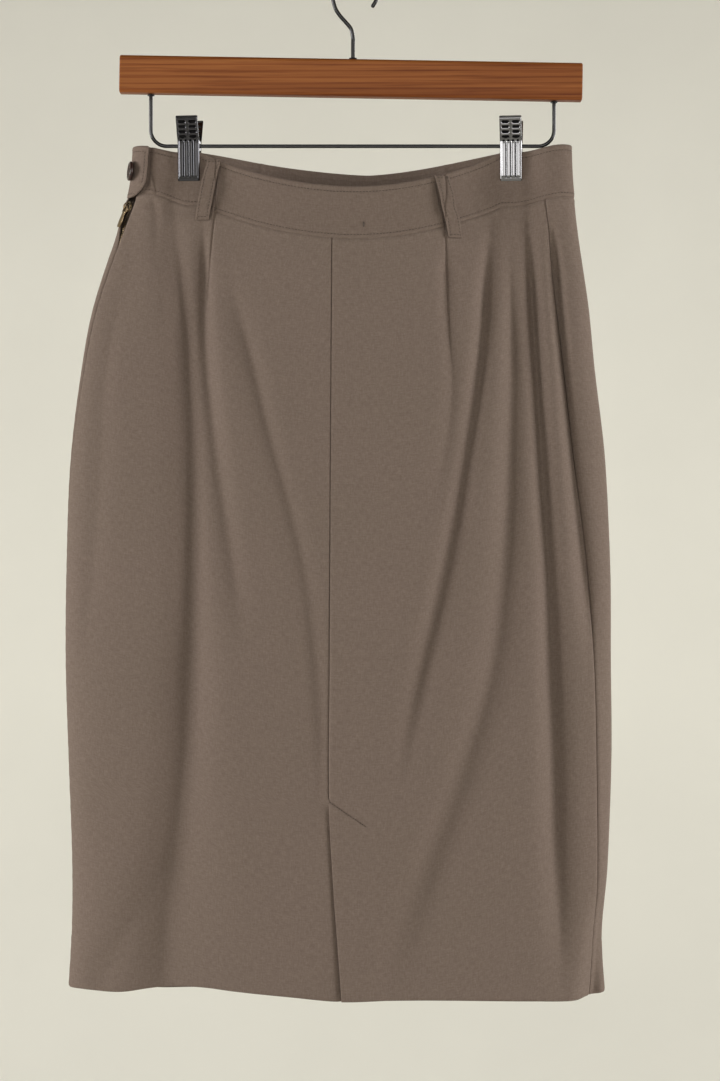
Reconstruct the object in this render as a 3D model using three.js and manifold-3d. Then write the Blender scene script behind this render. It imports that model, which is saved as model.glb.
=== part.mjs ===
// A pencil skirt clipped by its waistband to a wooden hanger, seen from the wearer's back.
// Millimetres, +Z up, +X to the viewer's right, -Y towards the viewer.
// The origin is where a rail carries the hanger: the top of the hook's inner curve.
import * as THREE from "three";
import { mergeVertices } from "three/addons/utils/BufferGeometryUtils.js";
import Module from "manifold-3d";

const wasm = await Module();
wasm.setup();

// Driving sizes of the cloth
const cloth = { wall: 1.2, seamGap: 0.3, hemDepth: 40, hemWall: 2.0, lengthAtSides: 676, rows: 20 };
const band = { height: 40, wall: 2.2, proud: 0.5, endRise: 5.5, tabLift: 2.7, tabFlare: 1.6 };
const waistLevel = -146.5;
const sags = {
  near: { depth: 29.5, lowestX: 2, power: 2 },
  far: { depth: 16, lowestX: 12, power: 1.4 },
};
const vent = { top: -661, underlap: 30, topDrop: 18, step: 1.8, lift: 1.6 };
const zip = {
  length: 200, tapeTop: -184, tapeWall: 0.8, tapeReach: 0.17, tapeSunk: 1.75,
  opening: 7, openingLength: 34, sliderLevel: -188.5,
};

// Driving sizes of the hanger
const bar = { length: 369.6, height: 30, depth: 14, round: 3, tilt: 1, level: -86.2, middle: -1.6 };
const hook = { wire: 3.2, inside: 16.7, middle: 1.5, stem: 0 };
const wire = { diameter: 3, level: -140.2, left: -161.6, right: 160.8, bend: 12.5 };
const clip = {
  halfWidth: 8.8, sheet: 1, handle: 22, jaw: 28, yaw: 7, earThick: 0.8, spread: 13, pivotGap: 4.1,
};
const clips = [
  { name: "left", x: -130.8, inward: 46, outward: 17 },
  { name: "right", x: 126.6, inward: 46, outward: 17 },
];

// Cross-sections of the skirt, from the waistband's top down to below the hem. left and right are the
// outline seen from behind, near and far the depth either side of the hanger's plane, and
// squareLeft and squareRight how boxy each half is, from 2 for an ellipse.
const sections = [
  { z: -130, left: -173.4, right: 174.0, near: 18, far: 15, squareLeft: 3.2, squareRight: 3.0 },
  { z: -163, left: -175.4, right: 175.2, near: 20, far: 16, squareLeft: 3.2, squareRight: 3.0 },
  { z: -181, left: -178.6, right: 176.6, near: 21, far: 17, squareLeft: 3.2, squareRight: 3.0 },
  { z: -197, left: -184.4, right: 178.2, near: 22, far: 17, squareLeft: 3.0, squareRight: 3.0 },
  { z: -231, left: -196.8, right: 182.8, near: 25, far: 18, squareLeft: 2.8, squareRight: 2.9 },
  { z: -271, left: -208.8, right: 188.4, near: 28, far: 19, squareLeft: 2.6, squareRight: 2.8 },
  { z: -311, left: -216.1, right: 192.6, near: 31, far: 21, squareLeft: 2.4, squareRight: 2.7 },
  { z: -391, left: -225.7, right: 201.4, near: 35, far: 24, squareLeft: 2.2, squareRight: 2.6 },
  { z: -471, left: -228.9, right: 205.4, near: 38, far: 26, squareLeft: 2.2, squareRight: 2.7 },
  { z: -551, left: -229.7, right: 206.2, near: 40, far: 27, squareLeft: 2.2, squareRight: 2.9 },
  { z: -631, left: -227.3, right: 206.2, near: 41, far: 28, squareLeft: 2.2, squareRight: 3.2 },
  { z: -711, left: -224.5, right: 203.4, near: 41, far: 29, squareLeft: 2.2, squareRight: 3.6 },
  { z: -771, left: -224.9, right: 198.4, near: 41, far: 29, squareLeft: 2.2, squareRight: 4.0 },
  { z: -830, left: -228.5, right: 202.0, near: 40, far: 29, squareLeft: 2.2, squareRight: 4.2 },
];

// Where the seams run on the near side. back is the centre-back seam, side the right side seam, and
// inset how far the left side seam lies inside the outline.
const seams = [
  { z: -170, back: -16.4, side: 151.2, inset: 4.6 },
  { z: -231, back: -16.8, side: 158.4, inset: 4.6 },
  { z: -311, back: -17.3, side: 166.9, inset: 2.6 },
  { z: -391, back: -17.8, side: 175.4, inset: 1.0 },
  { z: -471, back: -18.2, side: 184.9, inset: 0.4 },
  { z: -551, back: -18.6, side: 191.2, inset: 0.3 },
  { z: -661, back: -19.0, side: 193.4, inset: 0.3 },
  { z: -731, back: -15.4, side: 193.5, inset: 0.3 },
  { z: -771, back: -12.4, side: 190.6, inset: 0.3 },
  { z: -830, back: -8.2, side: 187.0, inset: 0.3 },
];

// Folds, each a soft trough between the heights top and bottom. path holds its places across the
// skirt at five even heights, wide its half width at the top and at the bottom, and deep its depth
// there.
const folds = {
  near: [
    { top: -179, bottom: -240, path: [-160, -158, -157, -156, -155], wide: [4, 6], deep: [2.5, 1] },
    { top: -187, bottom: -870, path: [-138, -130, -128, -147, -163], wide: [7, 27], deep: [6, 15] },
    { top: -203, bottom: -560, path: [-122.5, -118.5, -107.5, -95, -80], wide: [5.5, 13], deep: [5, 2] },
    { top: -250, bottom: -610, path: [-99, -76, -47, -30, -27], wide: [13, 17], deep: [2.2, 2] },
    { top: -235, bottom: -585, path: [-179, -196, -201, -208, -215], wide: [9, 11], deep: [2, 1.5] },
    { top: -690, bottom: -835, path: [-146, -160, -178, -196, -208], wide: [11, 15], deep: [2.5, 3] },
    { top: -215, bottom: -430, path: [72.3, 74, 77.5, 72.3, 60], wide: [4, 9], deep: [2.5, 1.5] },
    { top: -211, bottom: -605, path: [109.5, 98.4, 85.8, 66.2, 40], wide: [6, 13], deep: [5, 3] },
    { top: -207, bottom: -790, path: [125, 124, 119.5, 91, 30], wide: [6.5, 24], deep: [3.2, 4.5] },
    { top: -187, bottom: -715, path: [138, 144, 154, 159, 177], wide: [6.5, 12], deep: [8, 5] },
    { top: -190, bottom: -470, path: [150, 156, 162.5, 170, 178], wide: [5, 8], deep: [6, 2.5] },
    { top: -728, bottom: -905, path: [197, 194, 190, 188, 186], wide: [6, 14], deep: [2, 26] },
  ],
  far: [
    { top: -187, bottom: -800, path: [136, 140, 150, 146, 128], wide: [8, 26], deep: [4, 6] },
    { top: -203, bottom: -560, path: [112, 106, 92, 76, 60], wide: [6, 13], deep: [3.5, 2] },
    { top: -207, bottom: -700, path: [-118, -112, -98, -80, -46], wide: [6.5, 20], deep: [3.5, 3] },
    { top: -190, bottom: -760, path: [-140, -147, -160, -166, -178], wide: [7, 18], deep: [4.5, 4] },
    { top: -320, bottom: -700, path: [-20, -8, 6, 14, 16], wide: [16, 22], deep: [1.8, 2] },
  ],
};

// Darts, sewn from the waist seam down. groove is how deep the stitched line sits.
const darts = [
  { side: "near", topX: -109.5, tipX: -117.5, tip: -281, groove: 0.7 },
  { side: "near", topX: 72.3, tipX: 77.6, tip: -318, groove: 0.7 },
  { side: "far", topX: -74, tipX: -78, tip: -270, groove: 0.7 },
  { side: "far", topX: 74, tipX: 78, tip: -270, groove: 0.7 },
];

// Belt loops, sewn to the band's top edge and to the cloth below its seam.
const loopStrip = { width: 10.8, wall: 1.6, rise: 6.2, below: 12, endGap: 0.4 };
const loops = [
  { name: "belt_loop_back_left", side: "near", topX: -111, footX: -120, twist: -0.9 },
  { name: "belt_loop_back_right", side: "near", topX: 70, footX: 81, twist: 0.9 },
  { name: "belt_loop_front_left", side: "far", topX: -78, footX: -80, twist: 0 },
  { name: "belt_loop_front_right", side: "far", topX: 78, footX: 80, twist: 0 },
];

const clamp01 = (t) => Math.min(1, Math.max(0, t));
const mix = (a, b, t) => a + (b - a) * t;
const rampUp = (from, to, at) => {
  const t = clamp01((at - from) / (to - from));
  return t * t * (3 - 2 * t);
};
const isNear = (ring) => (((ring % 4) + 4) % 4) < 2;

// A column of a table at a place, on a smooth curve through its rows, in which key decreases.
function columnAt(table, column, place, key = "z") {
  const last = table.length - 1;
  if (place >= table[0][key]) return table[0][column];
  if (place <= table[last][key]) return table[last][column];
  const k = table.findIndex((row, i) => place <= row[key] && place > table[i + 1][key]);
  const slope = (i) => {
    const above = table[Math.max(0, i - 1)];
    const below = table[Math.min(last, i + 1)];
    return (below[column] - above[column]) / (below[key] - above[key]);
  };
  const step = table[k + 1][key] - table[k][key];
  const t = (place - table[k][key]) / step;
  const t2 = t * t;
  const t3 = t2 * t;
  return (2 * t3 - 3 * t2 + 1) * table[k][column] + (t3 - 2 * t2 + t) * step * slope(k)
    + (3 * t2 - 2 * t3) * table[k + 1][column] + (t3 - t2) * step * slope(k + 1);
}

// How far the clips press the two layers together at a place, from 0 to 1.
function pinchAt(x, z) {
  const below = Math.max(0, -168 - z);
  const hold = Math.exp(-below / 95);
  let free = 1;
  for (const c of clips) {
    const towardsMiddle = (x - c.x) * c.x < 0;
    const soft = (towardsMiddle ? c.inward : c.outward) * (1 + below / 260);
    const away = Math.max(0, Math.abs(x - c.x) - clip.halfWidth - 3) / soft;
    free *= 1 - hold * Math.exp(-away * away);
  }
  return 1 - free;
}

// Each clip is turned a little, and the pinched cloth turns with it. The left end swings back, so that
// the tab faces half left.
const swing = { from: -146, to: -180, back: 10, fadeTop: -190, fadeFoot: -360 };
function turnAt(x, z) {
  const hold = rampUp(-270, -168, z);
  const turned = clips.reduce((sum, c) => {
    const away = (x - c.x) / 34;
    return sum - Math.tan(THREE.MathUtils.degToRad(clip.yaw)) * (x - c.x) * Math.exp(-away * away) * hold;
  }, 0);
  const { from, to, back, fadeTop, fadeFoot } = swing;
  return turned + back * rampUp(from, to, x) * rampUp(fadeFoot, fadeTop, z);
}

// How far the folds of one side carry the cloth inwards at a place.
function foldAt(side, x, z) {
  return folds[side].reduce((sum, f) => {
    if (z > f.top || z < f.bottom) return sum;
    const t = (z - f.top) / (f.bottom - f.top);
    const places = f.path.map((place, i) => ({ z: -i / (f.path.length - 1), place }));
    const away = (x - columnAt(places, "place", -t)) / mix(...f.wide, t);
    const depth = mix(...f.deep, t) * rampUp(0, 0.12, t) * rampUp(1, 0.72, t);
    return sum + depth * Math.exp(-away * away);
  }, 0);
}

// The groove of the darts, a narrow trough that runs out at each dart's tip.
function dartAt(side, x, z) {
  return darts.reduce((sum, d) => {
    if (d.side !== side || z < d.tip) return sum;
    const t = clamp01((z - d.tip) / (waistLevel - band.height - d.tip));
    const away = (x - mix(d.tipX, d.topX, t)) / 1.6;
    return sum + d.groove * rampUp(0, 0.3, t) * Math.exp(-away * away);
  }, 0);
}

// The place across the skirt of a point on the ring. ring runs from 0 at the left outline over the
// near side to 2 at the right outline, and over the far side back to 4 at the left.
function acrossAt(ring, z) {
  const left = columnAt(sections, "left", z);
  const right = columnAt(sections, "right", z);
  return (left + right) / 2 - ((right - left) / 2) * Math.cos((Math.PI / 2) * ring);
}

// The inverse of acrossAt on the near side.
function ringAt(x, z) {
  const left = columnAt(sections, "left", z);
  const right = columnAt(sections, "right", z);
  const share = Math.min(1, Math.max(-1, (x - (left + right) / 2) / ((right - left) / 2)));
  return (2 / Math.PI) * Math.acos(-share);
}

// How far the outer faces stand from the hanger's plane where a clip presses the layers together,
// and in the deepest fold of the near side.
const pressed = cloth.seamGap / 2 + band.wall - band.proud;
const deepest = pressed - cloth.wall;

// A point of the cloth's outer face.
function clothPoint(ring, z) {
  const near = isNear(ring);
  const side = near ? "near" : "far";
  const share = -Math.cos((Math.PI / 2) * ring);
  const square = columnAt(sections, share < 0 ? "squareLeft" : "squareRight", z);
  const rise = Math.pow(Math.max(0, 1 - Math.pow(Math.abs(share), square)), 1 / square);
  const x = acrossAt(ring, z);
  const open = columnAt(sections, side, z) * rise;
  const pinch = pinchAt(x, z);
  const half = open * (1 - pinch) + Math.min(open, pressed) * pinch;
  const inwards = (foldAt(side, x, z) + dartAt(side, x, z)) * Math.min(1, 2.2 * rise);
  const offset = Math.max(half - inwards, Math.min(open, near ? deepest : pressed));
  return new THREE.Vector3(x, turnAt(x, z) + (near ? -offset : offset), z);
}

// The direction straight out of the cloth at a point.
function clothNormal(ring, z) {
  const along = clothPoint(ring + 0.012, z).sub(clothPoint(ring - 0.012, z));
  const up = clothPoint(ring, z + 1.5).sub(clothPoint(ring, z - 1.5));
  return along.cross(up).normalize();
}

const movedOut = (ring, z, out) => clothPoint(ring, z).addScaledVector(clothNormal(ring, z), out);

// The waistband's top edge, which hangs in a shallow arc between the clips, lower on the near side.
function topEdge(ring, x) {
  const { depth, lowestX, power } = sags[isNear(ring) ? "near" : "far"];
  const clipEdge = x < lowestX ? clips[0].x + clip.halfWidth : clips[1].x - clip.halfWidth;
  const share = (x - lowestX) / (clipEdge - lowestX);
  const sag = share < 1 ? depth * (1 - Math.pow(Math.abs(share), power)) : 0;
  const past = Math.abs(x) - Math.abs(clipEdge);
  return waistLevel - sag + band.endRise * rampUp(12, 52, past);
}

// Beside the tab the band's near side is creased, so that its seam sits higher there.
const crease = { rise: 4.5, from: -128, to: -156 };
function waistSeam(ring, x) {
  const creased = ring < 2 ? crease.rise * rampUp(crease.from, crease.to, x) : 0;
  return topEdge(ring, x) - band.height + creased;
}

// How far the hem rises over its level along the near side, from the viewer's right to the left.
const hemRises = [
  { x: 205, rise: 3 }, { x: 185, rise: 0 }, { x: 176, rise: -1.6 }, { x: 142, rise: -0.8 },
  { x: 60, rise: 0.2 }, { x: -10, rise: -0.8 }, { x: -50, rise: 2.7 }, { x: -95, rise: 6.4 },
  { x: -118, rise: 8.4 }, { x: -140, rise: 8.2 }, { x: -162, rise: 6.6 }, { x: -185, rise: 4.2 },
  { x: -218, rise: 5.2 },
];
const hemLevel = waistLevel + band.endRise - cloth.lengthAtSides;
function hemEdge(ring, x) {
  const onNear = columnAt(hemRises, "rise", x, "x");
  const outermost = columnAt(hemRises, "rise", Math.sign(x) * 1000, "x");
  return hemLevel + (isNear(ring) ? onNear : outermost * rampUp(150, 205, Math.abs(x)));
}

// A closed wall from a grid of outer points and the same grid moved inwards. Rows run downwards.
function wallGeometry(outer, inner) {
  const rows = outer.length;
  const columns = outer[0].length;
  const at = (layer, j, i) => (layer * rows + j) * columns + i;
  const index = [];
  const quad = (a, b, c, d) => index.push(a, b, c, a, c, d);
  for (let j = 0; j < rows - 1; j += 1) {
    for (let i = 0; i < columns - 1; i += 1) {
      quad(at(0, j, i), at(0, j + 1, i), at(0, j + 1, i + 1), at(0, j, i + 1));
      quad(at(1, j, i), at(1, j, i + 1), at(1, j + 1, i + 1), at(1, j + 1, i));
    }
    quad(at(0, j, 0), at(1, j, 0), at(1, j + 1, 0), at(0, j + 1, 0));
    const end = columns - 1;
    quad(at(0, j, end), at(0, j + 1, end), at(1, j + 1, end), at(1, j, end));
  }
  for (let i = 0; i < columns - 1; i += 1) {
    const foot = rows - 1;
    quad(at(0, 0, i), at(0, 0, i + 1), at(1, 0, i + 1), at(1, 0, i));
    quad(at(0, foot, i), at(1, foot, i), at(1, foot, i + 1), at(0, foot, i + 1));
  }
  return new THREE.BufferGeometry().setFromPoints([...outer.flat(), ...inner.flat()]).setIndex(index);
}

function solidOf(geometry) {
  const plain = geometry.clone();
  plain.deleteAttribute("normal");
  plain.deleteAttribute("uv");
  const merged = mergeVertices(plain, 1e-4);
  return new wasm.Manifold(new wasm.Mesh({
    numProp: 3,
    vertProperties: new Float32Array(merged.getAttribute("position").array),
    triVerts: new Uint32Array(merged.index.array),
  }));
}

function geometryOf(solid) {
  const mesh = solid.getMesh();
  return new THREE.BufferGeometry()
    .setAttribute("position", new THREE.BufferAttribute(mesh.vertProperties, 3))
    .setIndex(new THREE.BufferAttribute(mesh.triVerts, 1));
}

// Fractions from 0 to 1, closer together where weight is high.
function fractions(count, weight) {
  const fine = 400;
  const sums = [0];
  for (let k = 0; k < fine; k += 1) sums.push(sums[k] + weight((k + 0.5) / fine));
  return Array.from({ length: count + 1 }, (_, i) => {
    const goal = (sums[fine] * i) / count;
    const k = Math.min(fine - 1, Math.max(0, sums.findIndex((s) => s >= goal) - 1));
    return clamp01((k + (goal - sums[k]) / (sums[k + 1] - sums[k])) / fine);
  });
}

// The place on the ring and the height of a point of a panel. along runs from the panel's first seam
// to its second one, and down from the waist seam to the hem.
function placeOn({ from, to }, along, down) {
  let z = waistLevel - band.height;
  let ring = 0;
  for (let pass = 0; pass < 6; pass += 1) {
    ring = mix(from(z), to(z), along);
    const x = acrossAt(ring, z);
    z = mix(waistSeam(ring, x) - cloth.seamGap, hemEdge(ring, x), down);
  }
  return { ring, z };
}

// The rows lie closer towards the waist and at the hem's fold.
const panelRows = fractions(cloth.rows, (t) => (
  1.6 - 0.9 * t + 1.6 * Math.exp(-Math.pow((t - 0.97) / 0.05, 2))
));

// A panel of the skirt between two seams. lift moves a place of it outwards.
function panelGeometry(panel, lift = () => 0) {
  const outer = [];
  const inner = [];
  for (const down of panelRows) {
    const outerRow = [];
    const innerRow = [];
    for (const along of panel.columns) {
      const { ring, z } = placeOn(panel, along, down);
      const hem = hemEdge(ring, acrossAt(ring, z));
      const wall = z < hem + cloth.hemDepth ? cloth.hemWall : cloth.wall;
      const out = lift(ring, z);
      outerRow.push(movedOut(ring, z, out));
      innerRow.push(movedOut(ring, z, out - wall));
    }
    outer.push(outerRow);
    inner.push(innerRow);
  }
  return wallGeometry(outer, inner);
}

// The seams' places on the ring, each moved by half the seam gap to one side or the other.
const gapOnRing = (ring, z, gap) => {
  const speed = clothPoint(ring + 0.02, z).distanceTo(clothPoint(ring - 0.02, z)) / 0.04;
  return gap / speed;
};
const besideSeam = (seamRing, way) => (z) => {
  const ring = seamRing(z);
  return ring + way * gapOnRing(ring, z, cloth.seamGap / 2);
};
const backSeam = (z) => ringAt(columnAt(seams, "back", z), z);
const sideSeam = (z) => ringAt(columnAt(seams, "side", z), z);
const zipSeam = (z) => ringAt(columnAt(sections, "left", z) + columnAt(seams, "inset", z), z);
// Beside the slider the front's edge stands back, so that the placket gapes.
const frontZipEdge = (z) => {
  const ring = zipSeam(z);
  const gape = zip.opening * rampUp(zip.sliderLevel - zip.openingLength, zip.sliderLevel, z);
  return 4 + ring - gapOnRing(ring, z, cloth.seamGap / 2) - gapOnRing(-0.06, z, gape);
};

// The vent's underlap, which runs on from the left panel behind the right one.
function underlapGeometry() {
  const columns = [-5, -1.5, 1, 4, 12, 21, vent.underlap];
  const outer = [];
  const inner = [];
  for (const down of fractions(7, () => 1)) {
    const outerRow = [];
    const innerRow = [];
    columns.forEach((past) => {
      const share = clamp01(past / vent.underlap);
      const top = vent.top - vent.topDrop * share;
      let z = top;
      let ring = 0;
      for (let pass = 0; pass < 4; pass += 1) {
        const x = columnAt(seams, "back", z) + past;
        ring = ringAt(x, z);
        z = mix(top, hemEdge(ring, x) + 1.5, down);
      }
      const sunk = mix(0.3, vent.step, rampUp(-4, 1, past));
      outerRow.push(movedOut(ring, z, -sunk));
      innerRow.push(movedOut(ring, z, -sunk - (past < -1 ? 0.6 : cloth.wall)));
    });
    outer.push(outerRow);
    inner.push(innerRow);
  }
  return wallGeometry(outer, inner);
}

// More columns near the given spots of a panel.
const denseBy = (...spots) => (t) => spots.reduce(
  (sum, s) => sum + s.more * Math.exp(-Math.pow((t - s.at) / s.wide, 2)), 1,
);

const backLeft = {
  from: besideSeam(zipSeam, 1),
  to: besideSeam(backSeam, -1),
  columns: fractions(28, denseBy({ at: 0.5, more: 1.2, wide: 0.16 })),
};
const backRight = {
  from: besideSeam(backSeam, 1),
  to: besideSeam(sideSeam, -1),
  columns: fractions(32, denseBy({ at: 0.82, more: 1.5, wide: 0.22 })),
};
const front = {
  from: besideSeam(sideSeam, 1),
  to: frontZipEdge,
  columns: fractions(44, denseBy(
    { at: 0.03, more: 1.6, wide: 0.08 }, { at: 0.32, more: 2, wide: 0.035 },
    { at: 0.79, more: 2, wide: 0.035 }, { at: 0.98, more: 1.4, wide: 0.06 },
  )),
};

const backLeftGeometry = () => geometryOf(solidOf(panelGeometry(backLeft)).add(solidOf(underlapGeometry())));

// Towards the hem the right panel's edge stands proud of the underlap.
function backRightGeometry() {
  return panelGeometry(backRight, (ring, z) => {
    const past = acrossAt(ring, z) - columnAt(seams, "back", z);
    return vent.lift * rampUp(vent.top, hemLevel, z) * rampUp(45, 0, past);
  });
}

// Under the tab the front panel stands out with it.
const frontGeometry = () => panelGeometry(front, (ring, z) => (
  band.tabLift * rampUp(3.8, 3.98, ring) * rampUp(-222, -184, z)
));

// The waistband is one strip. It starts under the tab on the left, runs round the back, the right
// side and the front, and ends in the tab, which laps over its start. Its stations stand above the
// columns of the panels, so that both edges of the waist seam follow each other.
const bandStart = 0.19;
const tab = { turn: 3.99, topEnd: 4.235, footEnd: 4.185, steps: 5 };
const topRings = (panel) => panel.columns.map((along) => placeOn(panel, along, 0).ring);
const bandRings = [
  bandStart,
  ...topRings(backLeft).filter((ring) => ring > bandStart + 0.02),
  ...topRings(backRight).slice(1),
  ...topRings(front).slice(1).filter((ring) => ring < tab.turn - 0.01),
];
const tabRings = (down) => Array.from({ length: tab.steps + 1 }, (_, i) => (
  mix(tab.turn, mix(tab.topEnd, tab.footEnd, down), i / tab.steps)
));
const tabLiftAt = (ring) => (
  band.tabLift * rampUp(3.8, 4.0, ring) + band.tabFlare * rampUp(4.05, tab.topEnd, ring)
);
function bandGeometry() {
  const outer = [];
  const inner = [];
  for (const down of [0, 0.25, 0.5, 0.75, 1]) {
    const outerRow = [];
    const innerRow = [];
    for (const ring of [...bandRings, ...tabRings(down)]) {
      let z = waistLevel;
      for (let pass = 0; pass < 4; pass += 1) {
        const x = acrossAt(ring, z);
        z = mix(topEdge(ring, x), waistSeam(ring, x), down);
      }
      const out = band.proud + tabLiftAt(ring);
      outerRow.push(movedOut(ring, z, out));
      innerRow.push(movedOut(ring, z, out - band.wall));
    }
    outer.push(outerRow);
    inner.push(innerRow);
  }
  return wallGeometry(outer, inner);
}

// A belt loop: a strip that stands off the band between its two sewn ends.
function loopGeometry({ side, topX, footX, twist }) {
  const outer = [];
  const inner = [];
  const steps = 12;
  for (let j = 0; j <= steps; j += 1) {
    const down = j / steps;
    const outerRow = [];
    const innerRow = [];
    const x = mix(topX, footX, down);
    const ringMiddle = side === "near" ? ringAt(x, waistLevel) : 4 - ringAt(x, waistLevel);
    const top = topEdge(ringMiddle, x) - 0.5;
    const z = top - (band.height + loopStrip.below) * down;
    const bow = Math.pow(Math.sin(Math.PI * down), 0.7);
    for (const across of [-1, 0, 1]) {
      const place = x + across * (loopStrip.width / 2) * (side === "near" ? 1 : -1);
      const ring = side === "near" ? ringAt(place, z) : 4 - ringAt(place, z);
      const stand = loopStrip.endGap + (loopStrip.rise + twist * across) * bow;
      const base = clothPoint(ring, z).addScaledVector(clothNormal(ringMiddle, z), band.proud + stand);
      outerRow.push(base.clone().addScaledVector(clothNormal(ringMiddle, z), loopStrip.wall));
      innerRow.push(base);
    }
    outer.push(outerRow);
    inner.push(innerRow);
  }
  return wallGeometry(outer, inner);
}

// The zip's tape, behind the back panel's edge and across the gape beside the slider.
function zipTapeGeometry() {
  const outer = [];
  const inner = [];
  for (const down of fractions(14, () => 1)) {
    const z = mix(zip.tapeTop, zip.tapeTop - zip.length, down);
    const outerRow = [];
    const innerRow = [];
    const start = frontZipEdge(z) - 4 - 0.006;
    for (const across of fractions(9, (t) => 2 - t)) {
      const ring = mix(start, zipSeam(z) + zip.tapeReach, across);
      outerRow.push(movedOut(ring, z, -zip.tapeSunk));
      innerRow.push(movedOut(ring, z, -zip.tapeSunk - zip.tapeWall));
    }
    outer.push(outerRow);
    inner.push(innerRow);
  }
  return wallGeometry(outer, inner);
}

// A frame on the cloth: x along the ring, y up the cloth, z straight out.
function frameOn(ring, z, out) {
  const normal = clothNormal(ring, z);
  const up = clothPoint(ring, z + 2).sub(clothPoint(ring, z - 2));
  up.addScaledVector(normal, -up.dot(normal)).normalize();
  const along = up.clone().cross(normal);
  return new THREE.Matrix4().makeBasis(along, up, normal).setPosition(movedOut(ring, z, out));
}

const boxAt = (width, height, depth, x, y, z) => (
  new THREE.BoxGeometry(width, height, depth).translate(x, y, z)
);

const slider = {
  width: 7.6, length: 9.6, plate: 1, gap: 0.35, legs: 3.2, lug: 1.1, lugWidth: 2.2, pin: 2.4, neck: 1.4,
};
const pull = { length: 18, eyeWidth: 6.2, endWidth: 5.2, thick: 1.2, bar: 0.65, hole: 4.3, holeHalf: 1.75 };
const sliderRing = (zipSeam(zip.sliderLevel) + frontZipEdge(zip.sliderLevel) - 4) / 2;

function sliderGeometry() {
  const s = slider;
  const plateTop = s.gap + s.plate;
  const plate = new THREE.Shape([
    [-s.width / 2, s.length / 2], [-s.width / 2, 0], [-s.width / 3.4, -s.length / 2],
    [s.width / 3.4, -s.length / 2], [s.width / 2, 0], [s.width / 2, s.length / 2],
  ].map(([x, y]) => new THREE.Vector2(x, y)));
  const plateSolid = new THREE.ExtrudeGeometry(plate, { depth: s.plate, bevelEnabled: false })
    .translate(0, 0, s.gap);
  const lugTop = plateTop + 2 * (s.pin - plateTop) + s.lug;
  const lug = boxAt(s.lugWidth, 2 * s.legs, lugTop - plateTop + 0.4, 0, 0, (lugTop + plateTop - 0.4) / 2);
  const window = boxAt(s.lugWidth + 1, 2 * (s.legs - s.lug), 2 * (s.pin - plateTop), 0, 0, s.pin);
  const neck = boxAt(3.2, 6, s.neck + s.gap + 0.4, 0, 0, (s.gap + 0.4 - s.neck) / 2);
  return geometryOf(solidOf(plateSolid).add(solidOf(lug)).subtract(solidOf(window)).add(solidOf(neck)));
}

// The pull tab hangs from its top bar, which lies under the slider's lug.
function pullGeometry() {
  const p = pull;
  const outline = new THREE.Shape();
  outline.moveTo(-p.eyeWidth / 2, p.bar);
  outline.lineTo(-p.eyeWidth / 2, -p.hole - 0.8);
  outline.lineTo(-p.endWidth / 2 + 0.6, -p.hole - 3);
  outline.lineTo(-p.endWidth / 2, -p.length + p.endWidth / 2);
  outline.absarc(0, -p.length + p.endWidth / 2, p.endWidth / 2, Math.PI, 2 * Math.PI, false);
  outline.lineTo(p.endWidth / 2 - 0.6, -p.hole - 3);
  outline.lineTo(p.eyeWidth / 2, -p.hole - 0.8);
  outline.lineTo(p.eyeWidth / 2, p.bar);
  outline.closePath();
  const eye = new THREE.Path([
    [-p.holeHalf, -p.bar], [p.holeHalf, -p.bar], [p.holeHalf, -p.hole], [-p.holeHalf, -p.hole],
  ].map(([x, y]) => new THREE.Vector2(x, y)));
  outline.holes.push(eye);
  return new THREE.ExtrudeGeometry(outline, { depth: p.thick, bevelEnabled: false, curveSegments: 10 })
    .translate(0, 0, -p.thick / 2);
}

// A four-hole button with a raised rim.
const button = {
  diameter: 15.6, thick: 2.8, level: -160.5, ring: 4.09, gap: 0.3, holeRadius: 0.9, holeSpread: 1.9,
};
function buttonGeometry() {
  const r = button.diameter / 2;
  const t = button.thick;
  const profile = [
    [0, 0], [r - 1.4, 0], [r, 0.35 * t], [r - 0.3, 0.75 * t], [r - 1.3, t], [r - 2.6, 0.8 * t], [0, 0.65 * t],
  ];
  const disc = new THREE.LatheGeometry(profile.map(([x, y]) => new THREE.Vector2(x, y)), 24)
    .rotateX(Math.PI / 2);
  let solid = solidOf(disc);
  for (const [sx, sy] of [[1, 1], [1, -1], [-1, 1], [-1, -1]]) {
    const drill = new THREE.CylinderGeometry(button.holeRadius, button.holeRadius, 9, 8).rotateX(Math.PI / 2)
      .translate(sx * button.holeSpread, sy * button.holeSpread, 0);
    solid = solid.subtract(solidOf(drill));
  }
  return geometryOf(solid);
}

// Hanger

const circle = (radius, sides) => new THREE.Shape(Array.from({ length: sides }, (_, i) => {
  const a = (2 * Math.PI * i) / sides;
  return new THREE.Vector2(radius * Math.cos(a), radius * Math.sin(a));
}));

const rodAlong = (points, diameter, sides, steps) => new THREE.ExtrudeGeometry(circle(diameter / 2, sides), {
  steps, bevelEnabled: false, extrudePath: new THREE.CatmullRomCurve3(points, false, "centripetal"),
});

function arc(cx, cz, radius, fromDeg, toDeg, count) {
  return Array.from({ length: count + 1 }, (_, i) => {
    const a = THREE.MathUtils.degToRad(mix(fromDeg, toDeg, i / count));
    return new THREE.Vector3(cx + radius * Math.cos(a), 0, cz + radius * Math.sin(a));
  });
}

const barSlope = Math.tan(THREE.MathUtils.degToRad(bar.tilt));
const barMiddleAt = (x) => bar.level - (x - bar.middle) * barSlope;

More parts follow.
